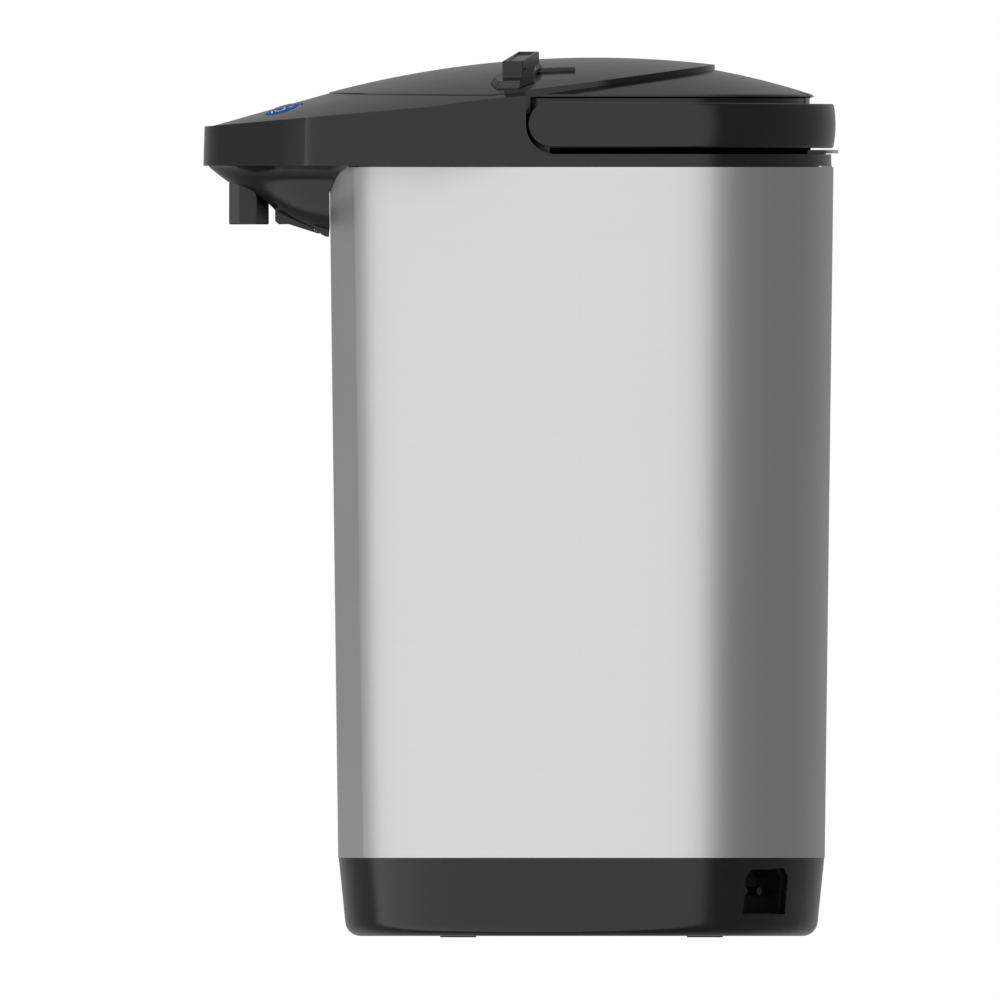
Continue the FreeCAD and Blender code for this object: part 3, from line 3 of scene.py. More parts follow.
import bpy
import numpy as np
from mathutils.bvhtree import BVHTree
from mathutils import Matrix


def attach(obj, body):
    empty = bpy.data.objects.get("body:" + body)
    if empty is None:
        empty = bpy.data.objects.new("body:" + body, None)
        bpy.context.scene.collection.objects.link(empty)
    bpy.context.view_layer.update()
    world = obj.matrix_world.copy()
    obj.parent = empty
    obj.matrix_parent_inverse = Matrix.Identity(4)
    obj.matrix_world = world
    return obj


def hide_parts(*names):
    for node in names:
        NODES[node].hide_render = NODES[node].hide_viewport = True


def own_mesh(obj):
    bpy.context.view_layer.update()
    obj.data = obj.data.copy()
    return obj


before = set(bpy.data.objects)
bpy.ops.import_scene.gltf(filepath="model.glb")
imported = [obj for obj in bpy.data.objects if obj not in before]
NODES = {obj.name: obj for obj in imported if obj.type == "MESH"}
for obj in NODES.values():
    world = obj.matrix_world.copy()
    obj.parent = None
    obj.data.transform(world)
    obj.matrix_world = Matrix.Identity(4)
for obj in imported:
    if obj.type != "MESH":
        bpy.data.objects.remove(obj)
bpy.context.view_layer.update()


# Viewpoint: the pot seen square from its +X side at half its height, with no perspective, as a
# catalogue picture shows it. The spout points to the left.
PICTURE_WIDTH = 0.39
PICTURE_CENTRE = (1.5, -0.00814, 0.17055)

camera = bpy.data.cameras.new("side_camera")
camera.type = "ORTHO"
camera.ortho_scale = PICTURE_WIDTH
camera_stand = bpy.data.objects.new("side_camera", camera)
camera_stand.location = PICTURE_CENTRE
camera_stand.rotation_euler = (math.radians(90), 0, math.radians(90))
bpy.context.scene.collection.objects.link(camera_stand)
bpy.context.scene.camera = camera_stand
bpy.context.scene.view_settings.view_transform = "Standard"


# Floor: a plain pale sheet that keeps the pot's shadow. It is a flat disc of rings round the
# standing point, and it isn't part of the pot.
FLOOR_RINGS = (0.001, 0.25, 1.0, 4.0)
FLOOR_SIDES = 96
FLOOR_COLOURS = (0.86, 0.86, 0.86, 1), (0.88, 0.88, 0.88, 1)
FLOOR_CLOUD = 3.0


def grid_mesh(name, points, close_u=False, close_v=False):
    """Mesh of the quads between neighbours in a grid of points, rows u by columns v."""
    rows, columns = points.shape[:2]
    number = np.arange(rows * columns).reshape(rows, columns)
    if close_u:
        number = np.concatenate([number, number[:1]], 0)
    if close_v:
        number = np.concatenate([number, number[:, :1]], 1)
    quads = np.stack([number[:-1, :-1], number[1:, :-1], number[1:, 1:], number[:-1, 1:]], -1)
    mesh = bpy.data.meshes.new(name)
    mesh.from_pydata(points.reshape(-1, 3), [], quads.reshape(-1, 4))
    mesh.polygons.foreach_set("use_smooth", np.ones(len(mesh.polygons), bool))
    piece = bpy.data.objects.new(name, mesh)
    bpy.context.scene.collection.objects.link(piece)
    return piece


def node_tree(holder):
    """Function that adds a node to the emptied tree of a material or world. It is given the kind,
    what goes into each input, and settings, and it gives back the node's first output."""
    holder.use_nodes = True
    holder.node_tree.nodes.clear()

    def add(kind, inputs=None, **settings):
        node = holder.node_tree.nodes.new(kind)
        for key, setting in settings.items():
            setattr(node, key, setting)
        for key, source in (inputs or {}).items():
            if isinstance(source, bpy.types.NodeSocket):
                holder.node_tree.links.new(source, node.inputs[key])
            else:
                node.inputs[key].default_value = source
        return node.outputs[0] if len(node.outputs) else node
    return add


def object_place(add):
    """Object coordinates: the point's own place in metres."""
    return add("ShaderNodeTexCoord").node.outputs["Object"]


def mixed_colour(add, share, first, second):
    """Colour on the straight line between two colours, by a share from 0 to 1."""
    mix = add("ShaderNodeMix", {0: share, 6: first, 7: second}, data_type="RGBA")
    return mix.node.outputs[2]


floor_turn = np.linspace(0, 2 * np.pi, FLOOR_SIDES, endpoint=False)
floor_rings = np.array(FLOOR_RINGS)[:, None]
floor = grid_mesh("floor", np.stack([
    floor_rings * np.cos(floor_turn), floor_rings * np.sin(floor_turn),
    np.zeros((len(FLOOR_RINGS), FLOOR_SIDES))], -1), close_v=True)
floor_material = bpy.data.materials.new("pale_floor")
add = node_tree(floor_material)
cloud = add("ShaderNodeTexNoise", {"Vector": object_place(add), "Scale": FLOOR_CLOUD})
sheet = add("ShaderNodeBsdfDiffuse", {"Color": mixed_colour(add, cloud, *FLOOR_COLOURS)})
add("ShaderNodeOutputMaterial", {"Surface": sheet})
floor.data.materials.append(floor_material)
floor.visible_glossy = False


# Studio light: a white tent with one grey side. The tent is the world, white to the camera and in
# glass, and in gloss it has its grey side behind the pot. Three soft lamps give the shadows.
# Angles are in degrees from +X towards +Y, and heights from the horizon up.
GREY_SIDE = 0.2
GREY_FROM, GREY_FROM_SOFT = 63.0, 4.0
GREY_TO, GREY_TO_SOFT = 241.0, 3.0
GREY_TOP, GREY_TOP_SOFT = 58.0, 14.0
BACK_LIFT, BACK_RISES, BACK_FALLS = 0.11, (118.0, 168.0), (226.0, 198.0)
AMBIENT = 0.55
LAMPS = {  # place, aim, side in metres, power in watts
    "key_lamp": ((1.7, -1.3, 1.9), (0, 0, 0.17), 1.4, 26.0),
    "top_lamp": ((0.2, 0.6, 2.4), (0, 0, 0.1), 1.6, 14.0),
    "back_lamp": ((-1.8, 1.2, 1.5), (0, 0, 0.17), 1.4, 14.0),
}

world = bpy.data.worlds.new("studio_tent")
bpy.context.scene.world = world
add = node_tree(world)


def sums(operation, *values):
    """One Math node over up to three values."""
    return add("ShaderNodeMath", dict(enumerate(values)), operation=operation)


def ramp(source, low, high):
    """Smooth step of a value from 0 at low to 1 at high."""
    return add("ShaderNodeMapRange", {"Value": source, "From Min": low, "From Max": high},
               interpolation_type="SMOOTHSTEP", clamp=True)


ray = add("ShaderNodeSeparateXYZ", {0: add("ShaderNodeTexCoord")}).node.outputs
azimuth = sums("MULTIPLY", sums("ARCTAN2", ray[1], ray[0]), 180 / math.pi)
azimuth = sums("WRAP", azimuth, 360.0, 0.0)
height = sums("MULTIPLY", sums("ARCSINE", ray[2]), 180 / math.pi)
grey = sums("MULTIPLY", ramp(azimuth, GREY_FROM - GREY_FROM_SOFT, GREY_FROM + GREY_FROM_SOFT),
            ramp(azimuth, GREY_TO + GREY_TO_SOFT, GREY_TO - GREY_TO_SOFT))
grey = sums("MULTIPLY", grey, ramp(height, GREY_TOP + GREY_TOP_SOFT, GREY_TOP - GREY_TOP_SOFT))
back = sums("MULTIPLY", ramp(azimuth, *BACK_RISES), ramp(azimuth, *BACK_FALLS))
side_level = add("ShaderNodeMapRange", {"Value": back, "To Min": GREY_SIDE,
                                        "To Max": GREY_SIDE + BACK_LIFT})
tent = add("ShaderNodeMapRange", {"Value": grey, "To Min": 1.0, "To Max": side_level})
path = add("ShaderNodeLightPath").node.outputs
seen = sums("MAXIMUM", path["Is Camera Ray"], path["Is Transmission Ray"])
strength = add("ShaderNodeMix", {0: path["Is Glossy Ray"], 2: AMBIENT, 3: tent})
strength = add("ShaderNodeMix", {0: seen, 2: strength, 3: 1.0})
light = add("ShaderNodeBackground", {"Color": (1, 1, 1, 1), "Strength": strength})
add("ShaderNodeOutputWorld", {"Surface": light})

for name, (place, aim, side, power) in LAMPS.items():
    lamp = bpy.data.lights.new(name, "AREA")
    lamp.shape = "SQUARE"
    lamp.size = side
    lamp.energy = power
    stand = bpy.data.objects.new(name, lamp)
    stand.location = place
    away = np.array(place) - np.array(aim)
    stand.rotation_euler = (math.atan2(math.hypot(away[0], away[1]), away[2]), 0,
                            math.atan2(away[1], away[0]) + math.pi / 2)
    stand.visible_glossy = False
    bpy.context.scene.collection.objects.link(stand)


# Moulded black housings: hood, lid, base and chin, the handle, and the parts of the lid's top, in
# one satin ABS with a fine spark grain from the mould. They are the CAD solids, but the nozzle and
# the lock slider are made again below.
PLASTIC_IOR = 1.5
GRAIN_DEPTH = 0.00002
SKIN_SIZE, SKIN_DRIFT = 24.0, 0.08
NOISE_LOW, NOISE_HIGH = 0.3, 0.7


def drifting(add, noise, middle, drift):
    """Roughness that follows a noise from a share under its middle value to a share over it."""
    return add("ShaderNodeMapRange", {
        "Value": noise, "From Min": NOISE_LOW, "From Max": NOISE_HIGH,
        "To Min": middle * (1 - drift), "To Max": middle * (1 + drift)})


def moulded(name, colour, roughness, grain=0.25, cell=1400.0, mottle=0.12):
    """Moulded plastic: a spark grain of fine noise for the bump, and colour and roughness that
    drift a little with a broad noise, as a skin does where the mould ran hotter."""
    material = bpy.data.materials.new(name)
    add = node_tree(material)
    place = object_place(add)
    broad = add("ShaderNodeTexNoise", {"Vector": place, "Scale": SKIN_SIZE, "Detail": 3.0})
    fine = add("ShaderNodeTexNoise", {"Vector": place, "Scale": cell, "Detail": 2.0})
    skin = mixed_colour(add, broad, [channel * (1 - mottle) for channel in colour] + [1],
                        [channel * (1 + mottle) for channel in colour] + [1])
    bump = add("ShaderNodeBump", {"Height": fine, "Strength": grain, "Distance": GRAIN_DEPTH})
    shader = add("ShaderNodeBsdfPrincipled", {
        "Base Color": skin, "Roughness": drifting(add, broad, roughness, SKIN_DRIFT),
        "IOR": PLASTIC_IOR, "Normal": bump})
    add("ShaderNodeOutputMaterial", {"Surface": shader})
    return material


def matt(material, level):
    """The same plastic with less shine: the shader's own specular level, lowered."""
    shader = material.node_tree.nodes["Principled BSDF"]
    shader.inputs["Specular IOR Level"].default_value = level
    return material


def dress(material, *names):
    """Puts one material in every slot of the named CAD nodes."""
    for name in names:
        slots = NODES[name].data.materials
        if not len(slots):
            slots.append(material)
        for index in range(len(slots)):
            slots[index] = material


black_plastic = moulded("black_moulding", (0.0055, 0.0055, 0.0056), 0.16)
dress(black_plastic, "head_housing", "chin_cover", "nozzle", "cup_lever", "lid_base", "lid_cover",
      "carry_handle", "push_plate", "release_lever", "lock_slider", "base_housing", "bottom_cover")


# Steel body: thin stainless sheet rolled to a slight cone and polished to a satin that runs round
# it. The gauge panel in its front has the same finish.
LINE_STRENGTH, LINE_TONE, LINE_DRIFT = 0.08, 0.015, 0.04
CLOUD_SIZE = 9.0
FINE_LINES, CAST_LINES = 0.00002, 0.00003


def satin_steel(name, colour, roughness, lines, depth, across=(1.0, 1.0, 40.0)):
    """Metal with fine lines: noise squeezed across the polishing direction gives the bump and the
    tone of the lines, and a broad noise lets the roughness drift."""
    material = bpy.data.materials.new(name)
    add = node_tree(material)
    place = object_place(add)
    lying = add("ShaderNodeMapping", {"Vector": place, "Scale": across})
    streak = add("ShaderNodeTexNoise", {"Vector": lying, "Scale": lines, "Detail": 4.0,
                                        "Roughness": 0.7})
    broad = add("ShaderNodeTexNoise", {"Vector": place, "Scale": CLOUD_SIZE, "Detail": 2.0})
    tone = mixed_colour(add, streak, [channel * (1 - LINE_TONE) for channel in colour] + [1],
                        [min(1, channel * (1 + LINE_TONE)) for channel in colour] + [1])
    bump = add("ShaderNodeBump", {"Height": streak, "Strength": LINE_STRENGTH, "Distance": depth})
    shader = add("ShaderNodeBsdfPrincipled", {
        "Base Color": tone, "Roughness": drifting(add, broad, roughness, LINE_DRIFT),
        "Metallic": 1.0, "Normal": bump})
    add("ShaderNodeOutputMaterial", {"Surface": shader})
    return material


dress(satin_steel("body_satin", (0.70, 0.70, 0.70), 0.3, 12.0, FINE_LINES),
      "body_shell", "gauge_panel")


# Window and level tube: a clear moulded pane in the gauge panel, over the tube that shows how full
# the pot is. Both are the CAD solids.
CLEAR_IOR = 1.49
SMEAR_SIZE, SMEAR_LOW, SMEAR_HIGH = 30.0, 0.6, 1.6


def clear_plastic(name, tint, roughness):
    """Clear moulding: glass of the plastic's index, a little rougher where it was touched."""
    material = bpy.data.materials.new(name)
    add = node_tree(material)
    smear = add("ShaderNodeTexNoise", {"Vector": object_place(add), "Scale": SMEAR_SIZE})
    rough = add("ShaderNodeMapRange", {"Value": smear, "To Min": roughness * SMEAR_LOW,
                                       "To Max": roughness * SMEAR_HIGH})
    shader = add("ShaderNodeBsdfPrincipled", {
        "Base Color": (*tint, 1), "Roughness": rough, "Transmission Weight": 1.0, "IOR": CLEAR_IOR})
    add("ShaderNodeOutputMaterial", {"Surface": shader})
    return material


dress(clear_plastic("clear_window", (0.93, 0.95, 0.96), 0.04), "gauge_window")
dress(clear_plastic("clear_tube", (0.95, 0.97, 0.98), 0.03), "level_tube")


# Gauge scale: level lines at each half litre and the litre numbers, printed in dark ink on the flat
# of the gauge panel. A litre's rise follows the inner pot's bore.
PANEL_FOOT, PANEL_FOOT_Y, PANEL_TOP, PANEL_TOP_Y = 0.031, -0.07125, 0.3004, -0.07465
PANEL_INK_LIFT = 0.00006
LITRE, LEVEL_ZERO, LEVELS = 0.051, 0.0535, 4
LINE_START, LINE_LONG, LINE_SHORT, LINE_HALF = 0.0086, 0.0046, 0.0028, 0.00025
DIGIT_START, DIGIT_HEIGHT = 0.0145, 0.0062


def panel_y(height):
    """The flat's y at a height, on the straight line between its foot and its top."""
    return (PANEL_FOOT_Y
            + (height - PANEL_FOOT) * (PANEL_TOP_Y - PANEL_FOOT_Y) / (PANEL_TOP - PANEL_FOOT))


def on_panel(drawing, level, start):
    """Turns a flat drawing's x and y into x and height on the panel, from a start at a level."""
    flat = np.empty(len(drawing.data.vertices) * 3)
    drawing.data.vertices.foreach_get("co", flat)
    flat = flat.reshape(-1, 3)
    height = level + flat[:, 1]
    placed = np.stack([start + flat[:, 0], panel_y(height) - PANEL_INK_LIFT, height], -1)
    drawing.data.vertices.foreach_set("co", placed.ravel())
    drawing.data.update()


def digit_shape(name, figure):
    """Flat mesh of one figure, its middle on the line."""
    letters = bpy.data.curves.new(name, "FONT")
    letters.body = str(figure)
    letters.size = DIGIT_HEIGHT
    letters.align_x, letters.align_y = "LEFT", "CENTER"
    writing = bpy.data.objects.new(f"{name}_writing", letters)
    bpy.context.scene.collection.objects.link(writing)
    digit = bpy.data.objects.new(name, bpy.data.meshes.new_from_object(writing))
    bpy.data.objects.remove(writing)
    bpy.context.scene.collection.objects.link(digit)
    digit.data.materials.clear()
    return digit


grey_ink = moulded("grey_ink", (0.03, 0.03, 0.032), 0.5, 0.1)
for half_litres in range(1, 2 * LEVELS + 1):
    level = LEVEL_ZERO + LITRE * half_litres / 2
    whole = half_litres % 2 == 0
    length = LINE_LONG if whole else LINE_SHORT
    line = grid_mesh(f"level_line_{half_litres}", np.array([
        [(reach, -LINE_HALF, 0), (reach, LINE_HALF, 0)] for reach in (0, length)]))
    drawings = [(line, LINE_START)]
    if whole:
        digit = digit_shape(f"litre_number_{half_litres // 2}", half_litres // 2)
        drawings.append((digit, DIGIT_START))
    for drawing, start in drawings:
        on_panel(drawing, level, start)
        drawing.data.materials.append(grey_ink)
        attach(drawing, "root")


# Float bead: a red ball that rides on the water in the level tube, and rests at the window's foot
# while the pot is empty.
BEAD_RADIUS, BEAD_PLACE = 0.0028, (0.0, -0.0629, 0.0705)
BEAD_RINGS, BEAD_SIDES = 18, 28


def lofted(name, loops):
    """Closed shell through a stack of loops: quads between neighbouring loops, and a fan to the
    middle point of the first and of the last loop. It is turned round if its volume is negative."""
    layers, around = loops.shape[:2]
    number = np.arange(layers * around).reshape(layers, around)
    beside = np.roll(number, -1, 1)
    quads = np.stack([number[:-1], beside[:-1], beside[1:], number[1:]], -1).reshape(-1, 4)
    low, high = layers * around, layers * around + 1
    fans = [np.stack([beside[0], number[0], np.full(around, low)], -1),
            np.stack([number[-1], beside[-1], np.full(around, high)], -1)]
    points = np.concatenate([loops.reshape(-1, 3), loops[:1].mean(1), loops[-1:].mean(1)])
    faces = quads.tolist() + np.concatenate(fans).tolist()
    corner = points[np.concatenate([quads[:, [0, 1, 2]], quads[:, [0, 2, 3]], *fans])]
    if np.einsum("ij,ij->", corner[:, 0], np.cross(corner[:, 1], corner[:, 2])) < 0:
        faces = [face[::-1] for face in faces]
    mesh = bpy.data.meshes.new(name)
    mesh.from_pydata(points, [], faces)
    piece = bpy.data.objects.new(name, mesh)
    bpy.context.scene.collection.objects.link(piece)
    return piece


def smooth(piece):
    """Shades a piece's faces as one surface."""
    piece.data.polygons.foreach_set("use_smooth", np.ones(len(piece.data.polygons), bool))


pitch = np.linspace(-math.pi / 2, math.pi / 2, BEAD_RINGS)[1:-1]
yaw = np.linspace(0, 2 * math.pi, BEAD_SIDES, endpoint=False)
bead = lofted("float_bead", np.stack([
    np.outer(np.cos(pitch), np.cos(yaw)), np.outer(np.cos(pitch), np.sin(yaw)),
    np.outer(np.sin(pitch), np.ones(BEAD_SIDES))], -1) * BEAD_RADIUS + BEAD_PLACE)
smooth(bead)
bead.data.materials.append(moulded("float_red", (0.45, 0.02, 0.015), 0.3, 0.1))
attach(bead, "root")


# Nozzle: the black spout end under the hood, moulded as a box with a blunt wedge in front and a
# slimmer wedge behind, and pushed up into the chin. The outlet is a round bore in its foot.
NOZZLE_SIDE, NOZZLE_TIP, NOZZLE_TAIL = 0.008, 0.0016, 0.0042
NOZZLE_FRONT, NOZZLE_SHOULDER, NOZZLE_WAIST, NOZZLE_REAR = -0.1138, -0.1097, -0.1033, -0.0983
NOZZLE_FOOT, NOZZLE_TOP, NOZZLE_ROUNDING = 0.2780, 0.2965, 0.0006
FOOT_INSET, FOOT_EDGE = 0.035, 0.0004
OUTLET_Y, OUTLET_RADIUS, OUTLET_DEPTH = -0.1064, 0.0042, 0.014
OUTLET_FLARE, OUTLET_EDGE = 0.06, 0.0003


def rounded_plan(corners, radius, steps=6):
    """Polygon whose corners are rounded: at each corner a quadratic curve from a point one radius
    before it to a point one radius after it, with the corner as its control point."""
    corners = np.array(corners, float)
    before, after = np.roll(corners, 1, 0) - corners, np.roll(corners, -1, 0) - corners
    run_in = np.linalg.norm(before, axis=1)
    run_out = np.linalg.norm(after, axis=1)
    reach = np.minimum(radius, 0.45 * np.minimum(run_in, run_out))[:, None]
    start = corners + before / run_in[:, None] * reach
    end = corners + after / run_out[:, None] * reach
    t = np.linspace(0, 1, steps)[None, :, None]
    curve = ((1 - t) ** 2 * start[:, None] + 2 * t * (1 - t) * corners[:, None]
             + t ** 2 * end[:, None])
    return curve.reshape(-1, 2)


def at_height(plan, height):
    """A plan's points lifted to one height."""
    return np.concatenate([plan, np.full((len(plan), 1), height)], 1)


nozzle_plan = rounded_plan([(-NOZZLE_TIP, NOZZLE_FRONT), (NOZZLE_TIP, NOZZLE_FRONT),
                            (NOZZLE_SIDE, NOZZLE_SHOULDER), (NOZZLE_SIDE, NOZZLE_WAIST),
                            (NOZZLE_TAIL, NOZZLE_REAR), (-NOZZLE_TAIL, NOZZLE_REAR),
                            (-NOZZLE_SIDE, NOZZLE_WAIST), (-NOZZLE_SIDE, NOZZLE_SHOULDER)],
                           NOZZLE_ROUNDING)
bearing = np.arctan2(nozzle_plan[:, 1] - OUTLET_Y, nozzle_plan[:, 0])
outlet_plan = np.stack([OUTLET_RADIUS * np.cos(bearing),
                        OUTLET_Y + OUTLET_RADIUS * np.sin(bearing)], -1)
nozzle = lofted("nozzle_spout", np.stack([
    at_height(outlet_plan, NOZZLE_FOOT + OUTLET_DEPTH),
    at_height(outlet_plan, NOZZLE_FOOT + OUTLET_EDGE),
    at_height(outlet_plan + (outlet_plan - [0, OUTLET_Y]) * OUTLET_FLARE, NOZZLE_FOOT),
    at_height(nozzle_plan + ([0, OUTLET_Y] - nozzle_plan) * FOOT_INSET, NOZZLE_FOOT),
    at_height(nozzle_plan, NOZZLE_FOOT + FOOT_EDGE),
    at_height(nozzle_plan, NOZZLE_TOP)]))
nozzle.data.materials.append(black_plastic)
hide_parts("nozzle")
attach(nozzle, "root")


# Lever cheeks: two ribs under the chin, one each side of the cup lever, which hold the ends of its
# pin. They are moulded in one with the chin, and close its rear corner.
CHEEK_OUTLINE = ((-0.0822, 0.2785), (-0.0796, 0.2753), (-0.0750, 0.2732), (-0.0747, 0.2782),
                 (-0.0790, 0.2810))
CHEEK_SIDES = (0.0047, 0.0069)
CHEEK_ROUNDING, CHEEK_STEPS = 0.0005, 4

cheek_side = rounded_plan(CHEEK_OUTLINE, CHEEK_ROUNDING, CHEEK_STEPS)
for name, hand in (("lever_cheek_far", -1), ("lever_cheek_near", 1)):
    cheek = lofted(name, np.stack([
        np.column_stack([np.full(len(cheek_side), hand * across), cheek_side])
        for across in CHEEK_SIDES]))
    cheek.data.materials.append(black_plastic)
    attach(cheek, "root")


# Control panel: a smooth dark inlay on the hood's deck, with a small amber lamp beside the keys.
# Both are the CAD solids.
dress(moulded("panel_inlay", (0.013, 0.013, 0.0135), 0.16, 0.1), "control_panel")
dress(moulded("amber_lamp", (0.7, 0.28, 0.04), 0.12, 0.05), "indicator_lens")


# Keys: a blue button that dispenses and two dark keys, one for reboil and one for the lock. Each is
# a moulded cap that lies almost flush in its opening and follows the deck's slope.
BUTTON_CENTRE, BUTTON_HALF = (0.0299, -0.09205), (0.0127, 0.00745)
REBOIL_CENTRE, LOCK_CENTRE, KEY_HALF = (0.0, -0.09205), (-0.0299, -0.0921), (0.0070, 0.0042)
KEY_SUNK, KEY_SIDES = 0.0006, 72
KEY_RINGS = ((1.0, 0.0012), (1.0, 0.00025), (0.985, 0.00008), (0.955, 0.0), (0.7, 0.0), (0.35, 0.0))
KEY_READ = 0.93
RAY_FROM = 0.5

key_shapes = {name: BVHTree.FromPolygons([corner.co for corner in NODES[name].data.vertices],
                                         [face.vertices for face in NODES[name].data.polygons])
              for name in ("dispense_button", "reboil_key", "lock_key")}


def moulded_top(node, x, y):
    """Height of a key node's upper face above a plan point, by a ray from above."""
    place = key_shapes[node].ray_cast((x, y, RAY_FROM), (0, 0, -1))[0]
    return place.z if place else None


def flush_key(name, node, body, centre, half, material):
    """A key that follows the deck: rings of an ellipse shrink from its skirt over a rounded edge to
    its middle, at the height of the node's own top less the part by which it is sunk."""
    turn = np.linspace(0, 2 * np.pi, KEY_SIDES + 1)[:-1]
    ring = np.stack([half[0] * np.cos(turn), half[1] * np.sin(turn)], -1)
    loops = []
    for share, drop in KEY_RINGS:
        tops = [moulded_top(node, x, y) for x, y in ring * min(share, KEY_READ) + centre]
        loops.append(np.column_stack([ring * share + centre, np.array(tops) - KEY_SUNK - drop]))
    key = lofted(name, np.stack(loops))
    smooth(key)
    key.data.materials.append(material)
    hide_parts(node)
    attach(key, body)


blue_key = matt(moulded("blue_key", (0.0, 0.058, 0.25), 0.45, 0.1), 0.03)
dark_key = moulded("dark_key", (0.012, 0.012, 0.0125), 0.2, 0.1)
dress(blue_key, "dispense_button")
dress(dark_key, "reboil_key", "lock_key")
flush_key("button_top", "dispense_button", "button", BUTTON_CENTRE, BUTTON_HALF,
          blue_key)
flush_key("reboil_top", "reboil_key", "key_middle", REBOIL_CENTRE, KEY_HALF,
          dark_key)
flush_key("lock_top", "lock_key", "key_far", LOCK_CENTRE, KEY_HALF, dark_key)


# Printed marks: a pale ring and a steaming cup on the blue button, a padlock and a turning arrow on
# the dark keys. They are pad-printed, so each is a flat ribbon of ink a hair above its key.
INK_LIFT = 0.00004
FINE, THIN, MEDIUM, WIDE = 0.0003, 0.0004, 0.00045, 0.0005
CUP_SIZE = 1.4
STEAM_FOOT, STEAM_TOP, STEAM_SWAY, STEAM_POINTS = 0.0006, 0.0026, 0.00035, 12
BOWL = [(-0.0026, -0.0001), (-0.0023, -0.0012), (-0.0018, -0.0023), (-0.0009, -0.0027),
        (0.0009, -0.0027), (0.0018, -0.0023), (0.0023, -0.0012), (0.0026, -0.0001)]
RIM_SHARE = (0.915, 0.9)


def ribbon(path, width, closed):
    """Two edges of a band along a plan path: each point moved half the width to either side, at
    right angles to the path's direction there."""
    if closed:
        step = np.roll(path, -1, 0) - np.roll(path, 1, 0)
    else:
        step = np.gradient(path, axis=0)
    step /= np.linalg.norm(step, axis=1)[:, None]
    side = np.stack([-step[:, 1], step[:, 0]], -1) * width / 2
    return np.stack([path - side, path + side], 1)


def printed(name, node, body, centre, marks, material, size=1.0, closed=False):
    """Ink ribbons round a centre, laid on the sunk upper face of a key node. A mark is a path and
    its width, and size scales both. A point past the key's edge takes the mean height."""
    for index, (path, width) in enumerate(marks):
        band = ribbon(np.array(path, float) * size + centre, width * size, closed)
        heights = np.array([[moulded_top(node, x, y) or np.nan for x, y in row] for row in band])
        heights = np.where(np.isnan(heights), np.nanmean(heights), heights) - KEY_SUNK + INK_LIFT
        ink = grid_mesh(f"{name}_{index}", np.concatenate([band, heights[..., None]], -1),
                        close_u=closed)
        ink.data.materials.append(material)
        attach(ink, body)


def arc_path(radius_x, radius_y, start, end, count, middle=(0, 0)):
    """Points along part of an ellipse between two angles in degrees."""
    angle = np.radians(np.linspace(start, end, count))
    return np.stack([middle[0] + radius_x * np.cos(angle),
                     middle[1] + radius_y * np.sin(angle)], -1)


white_ink = moulded("white_ink", (0.62, 0.66, 0.7), 0.45, 0.1)
pale_ink = moulded("pale_blue_ink", (0.16, 0.42, 0.75), 0.4, 0.1)
sway = STEAM_SWAY * np.sin(np.linspace(0, 2 * np.pi, STEAM_POINTS))
steam = [(np.stack([x + sway, np.linspace(STEAM_FOOT, STEAM_TOP, STEAM_POINTS)], -1), FINE)
         for x in (-0.0016, 0.0, 0.0016)]
cup = [(BOWL, MEDIUM),
       ([(-0.0028, -0.0001), (0.0, -0.0001), (0.0028, -0.0001)], MEDIUM),
       (arc_path(0.0012, 0.0009, -80, 80, 10, (0.0026, -0.0012)), THIN),
       (np.stack([np.linspace(-0.0034, 0.0034, 5), np.full(5, -0.0036)], -1), THIN)]
printed("cup_print", "dispense_button", "button", BUTTON_CENTRE, steam + cup, white_ink,
        CUP_SIZE)
rim = arc_path(BUTTON_HALF[0] * RIM_SHARE[0], BUTTON_HALF[1] * RIM_SHARE[1], 0, 357, 120)
printed("button_ring", "dispense_button", "button", BUTTON_CENTRE, [(rim, WIDE)], pale_ink,
        closed=True)
padlock = [([(-0.0016, -0.0018), (0.0016, -0.0018), (0.0016, 0.0002), (-0.0016, 0.0002),
             (-0.0016, -0.0018)], THIN),
           (arc_path(0.0010, 0.0014, 0, 180, 14, (0, 0.0004)), THIN),
           ([(0, -0.0011), (0, -0.0005)], WIDE)]
printed("padlock_print", "lock_key", "key_far", LOCK_CENTRE, padlock, white_ink)
arrow = [(arc_path(0.0019, 0.0019, 110, 400, 28), THIN),
         ([(0.0008, 0.0016), (0.0015, 0.0012), (0.0019, 0.0019)], THIN)]
printed("arrow_print", "reboil_key", "key_middle", REBOIL_CENTRE, arrow, white_ink)


# Lock slider: a finger block on a low skirt that follows the lid's crown, moulded black and snapped
# through its slot. It stands higher at its inner end and has a shallow panel sunk in its top.
SLIDER_OUTER, SLIDER_INNER = np.array([0.0772, -0.0033]), np.array([0.0472, 0.0032])
SLIDER_HALF, SLIDER_OUTER_TOP, SLIDER_INNER_TOP = 0.0041, 0.3418, 0.3455
SLIDER_ROUNDING, SLIDER_STEPS = 0.0005, 4
SLIDER_RINGS = (((0, 0), 0.0004), ((0.02, 0.07), 0), ((0.07, 0.24), 0), ((0.085, 0.3), 0.0007))
SKIRT_LENGTH, SKIRT_HALF, SKIRT_END_HALF, SKIRT_NECK_HALF = 0.0088, 0.0088, 0.0046, 0.0051
SKIRT_ROUNDING, SKIRT_LEAN = 0.0004, 0.12
SKIRT_SUNK, SKIRT_EDGE, SKIRT_RISE = 0.0006, 0.0007, 0.0026
CROWN_PEAK_Y, CROWN_PEAK_Z, CROWN_LONG, CROWN_CROSS = 0.02865, 0.3428, 0.400, 0.350


def crown(x, y):
    """Height of the hood's and lid's crown: a peak less the sagittas of two circles, one along the
    pot and one across it."""
    return (CROWN_PEAK_Z - CROWN_CROSS + np.sqrt(CROWN_CROSS ** 2 - x ** 2)
            - CROWN_LONG + np.sqrt(CROWN_LONG ** 2 - (y - CROWN_PEAK_Y) ** 2))


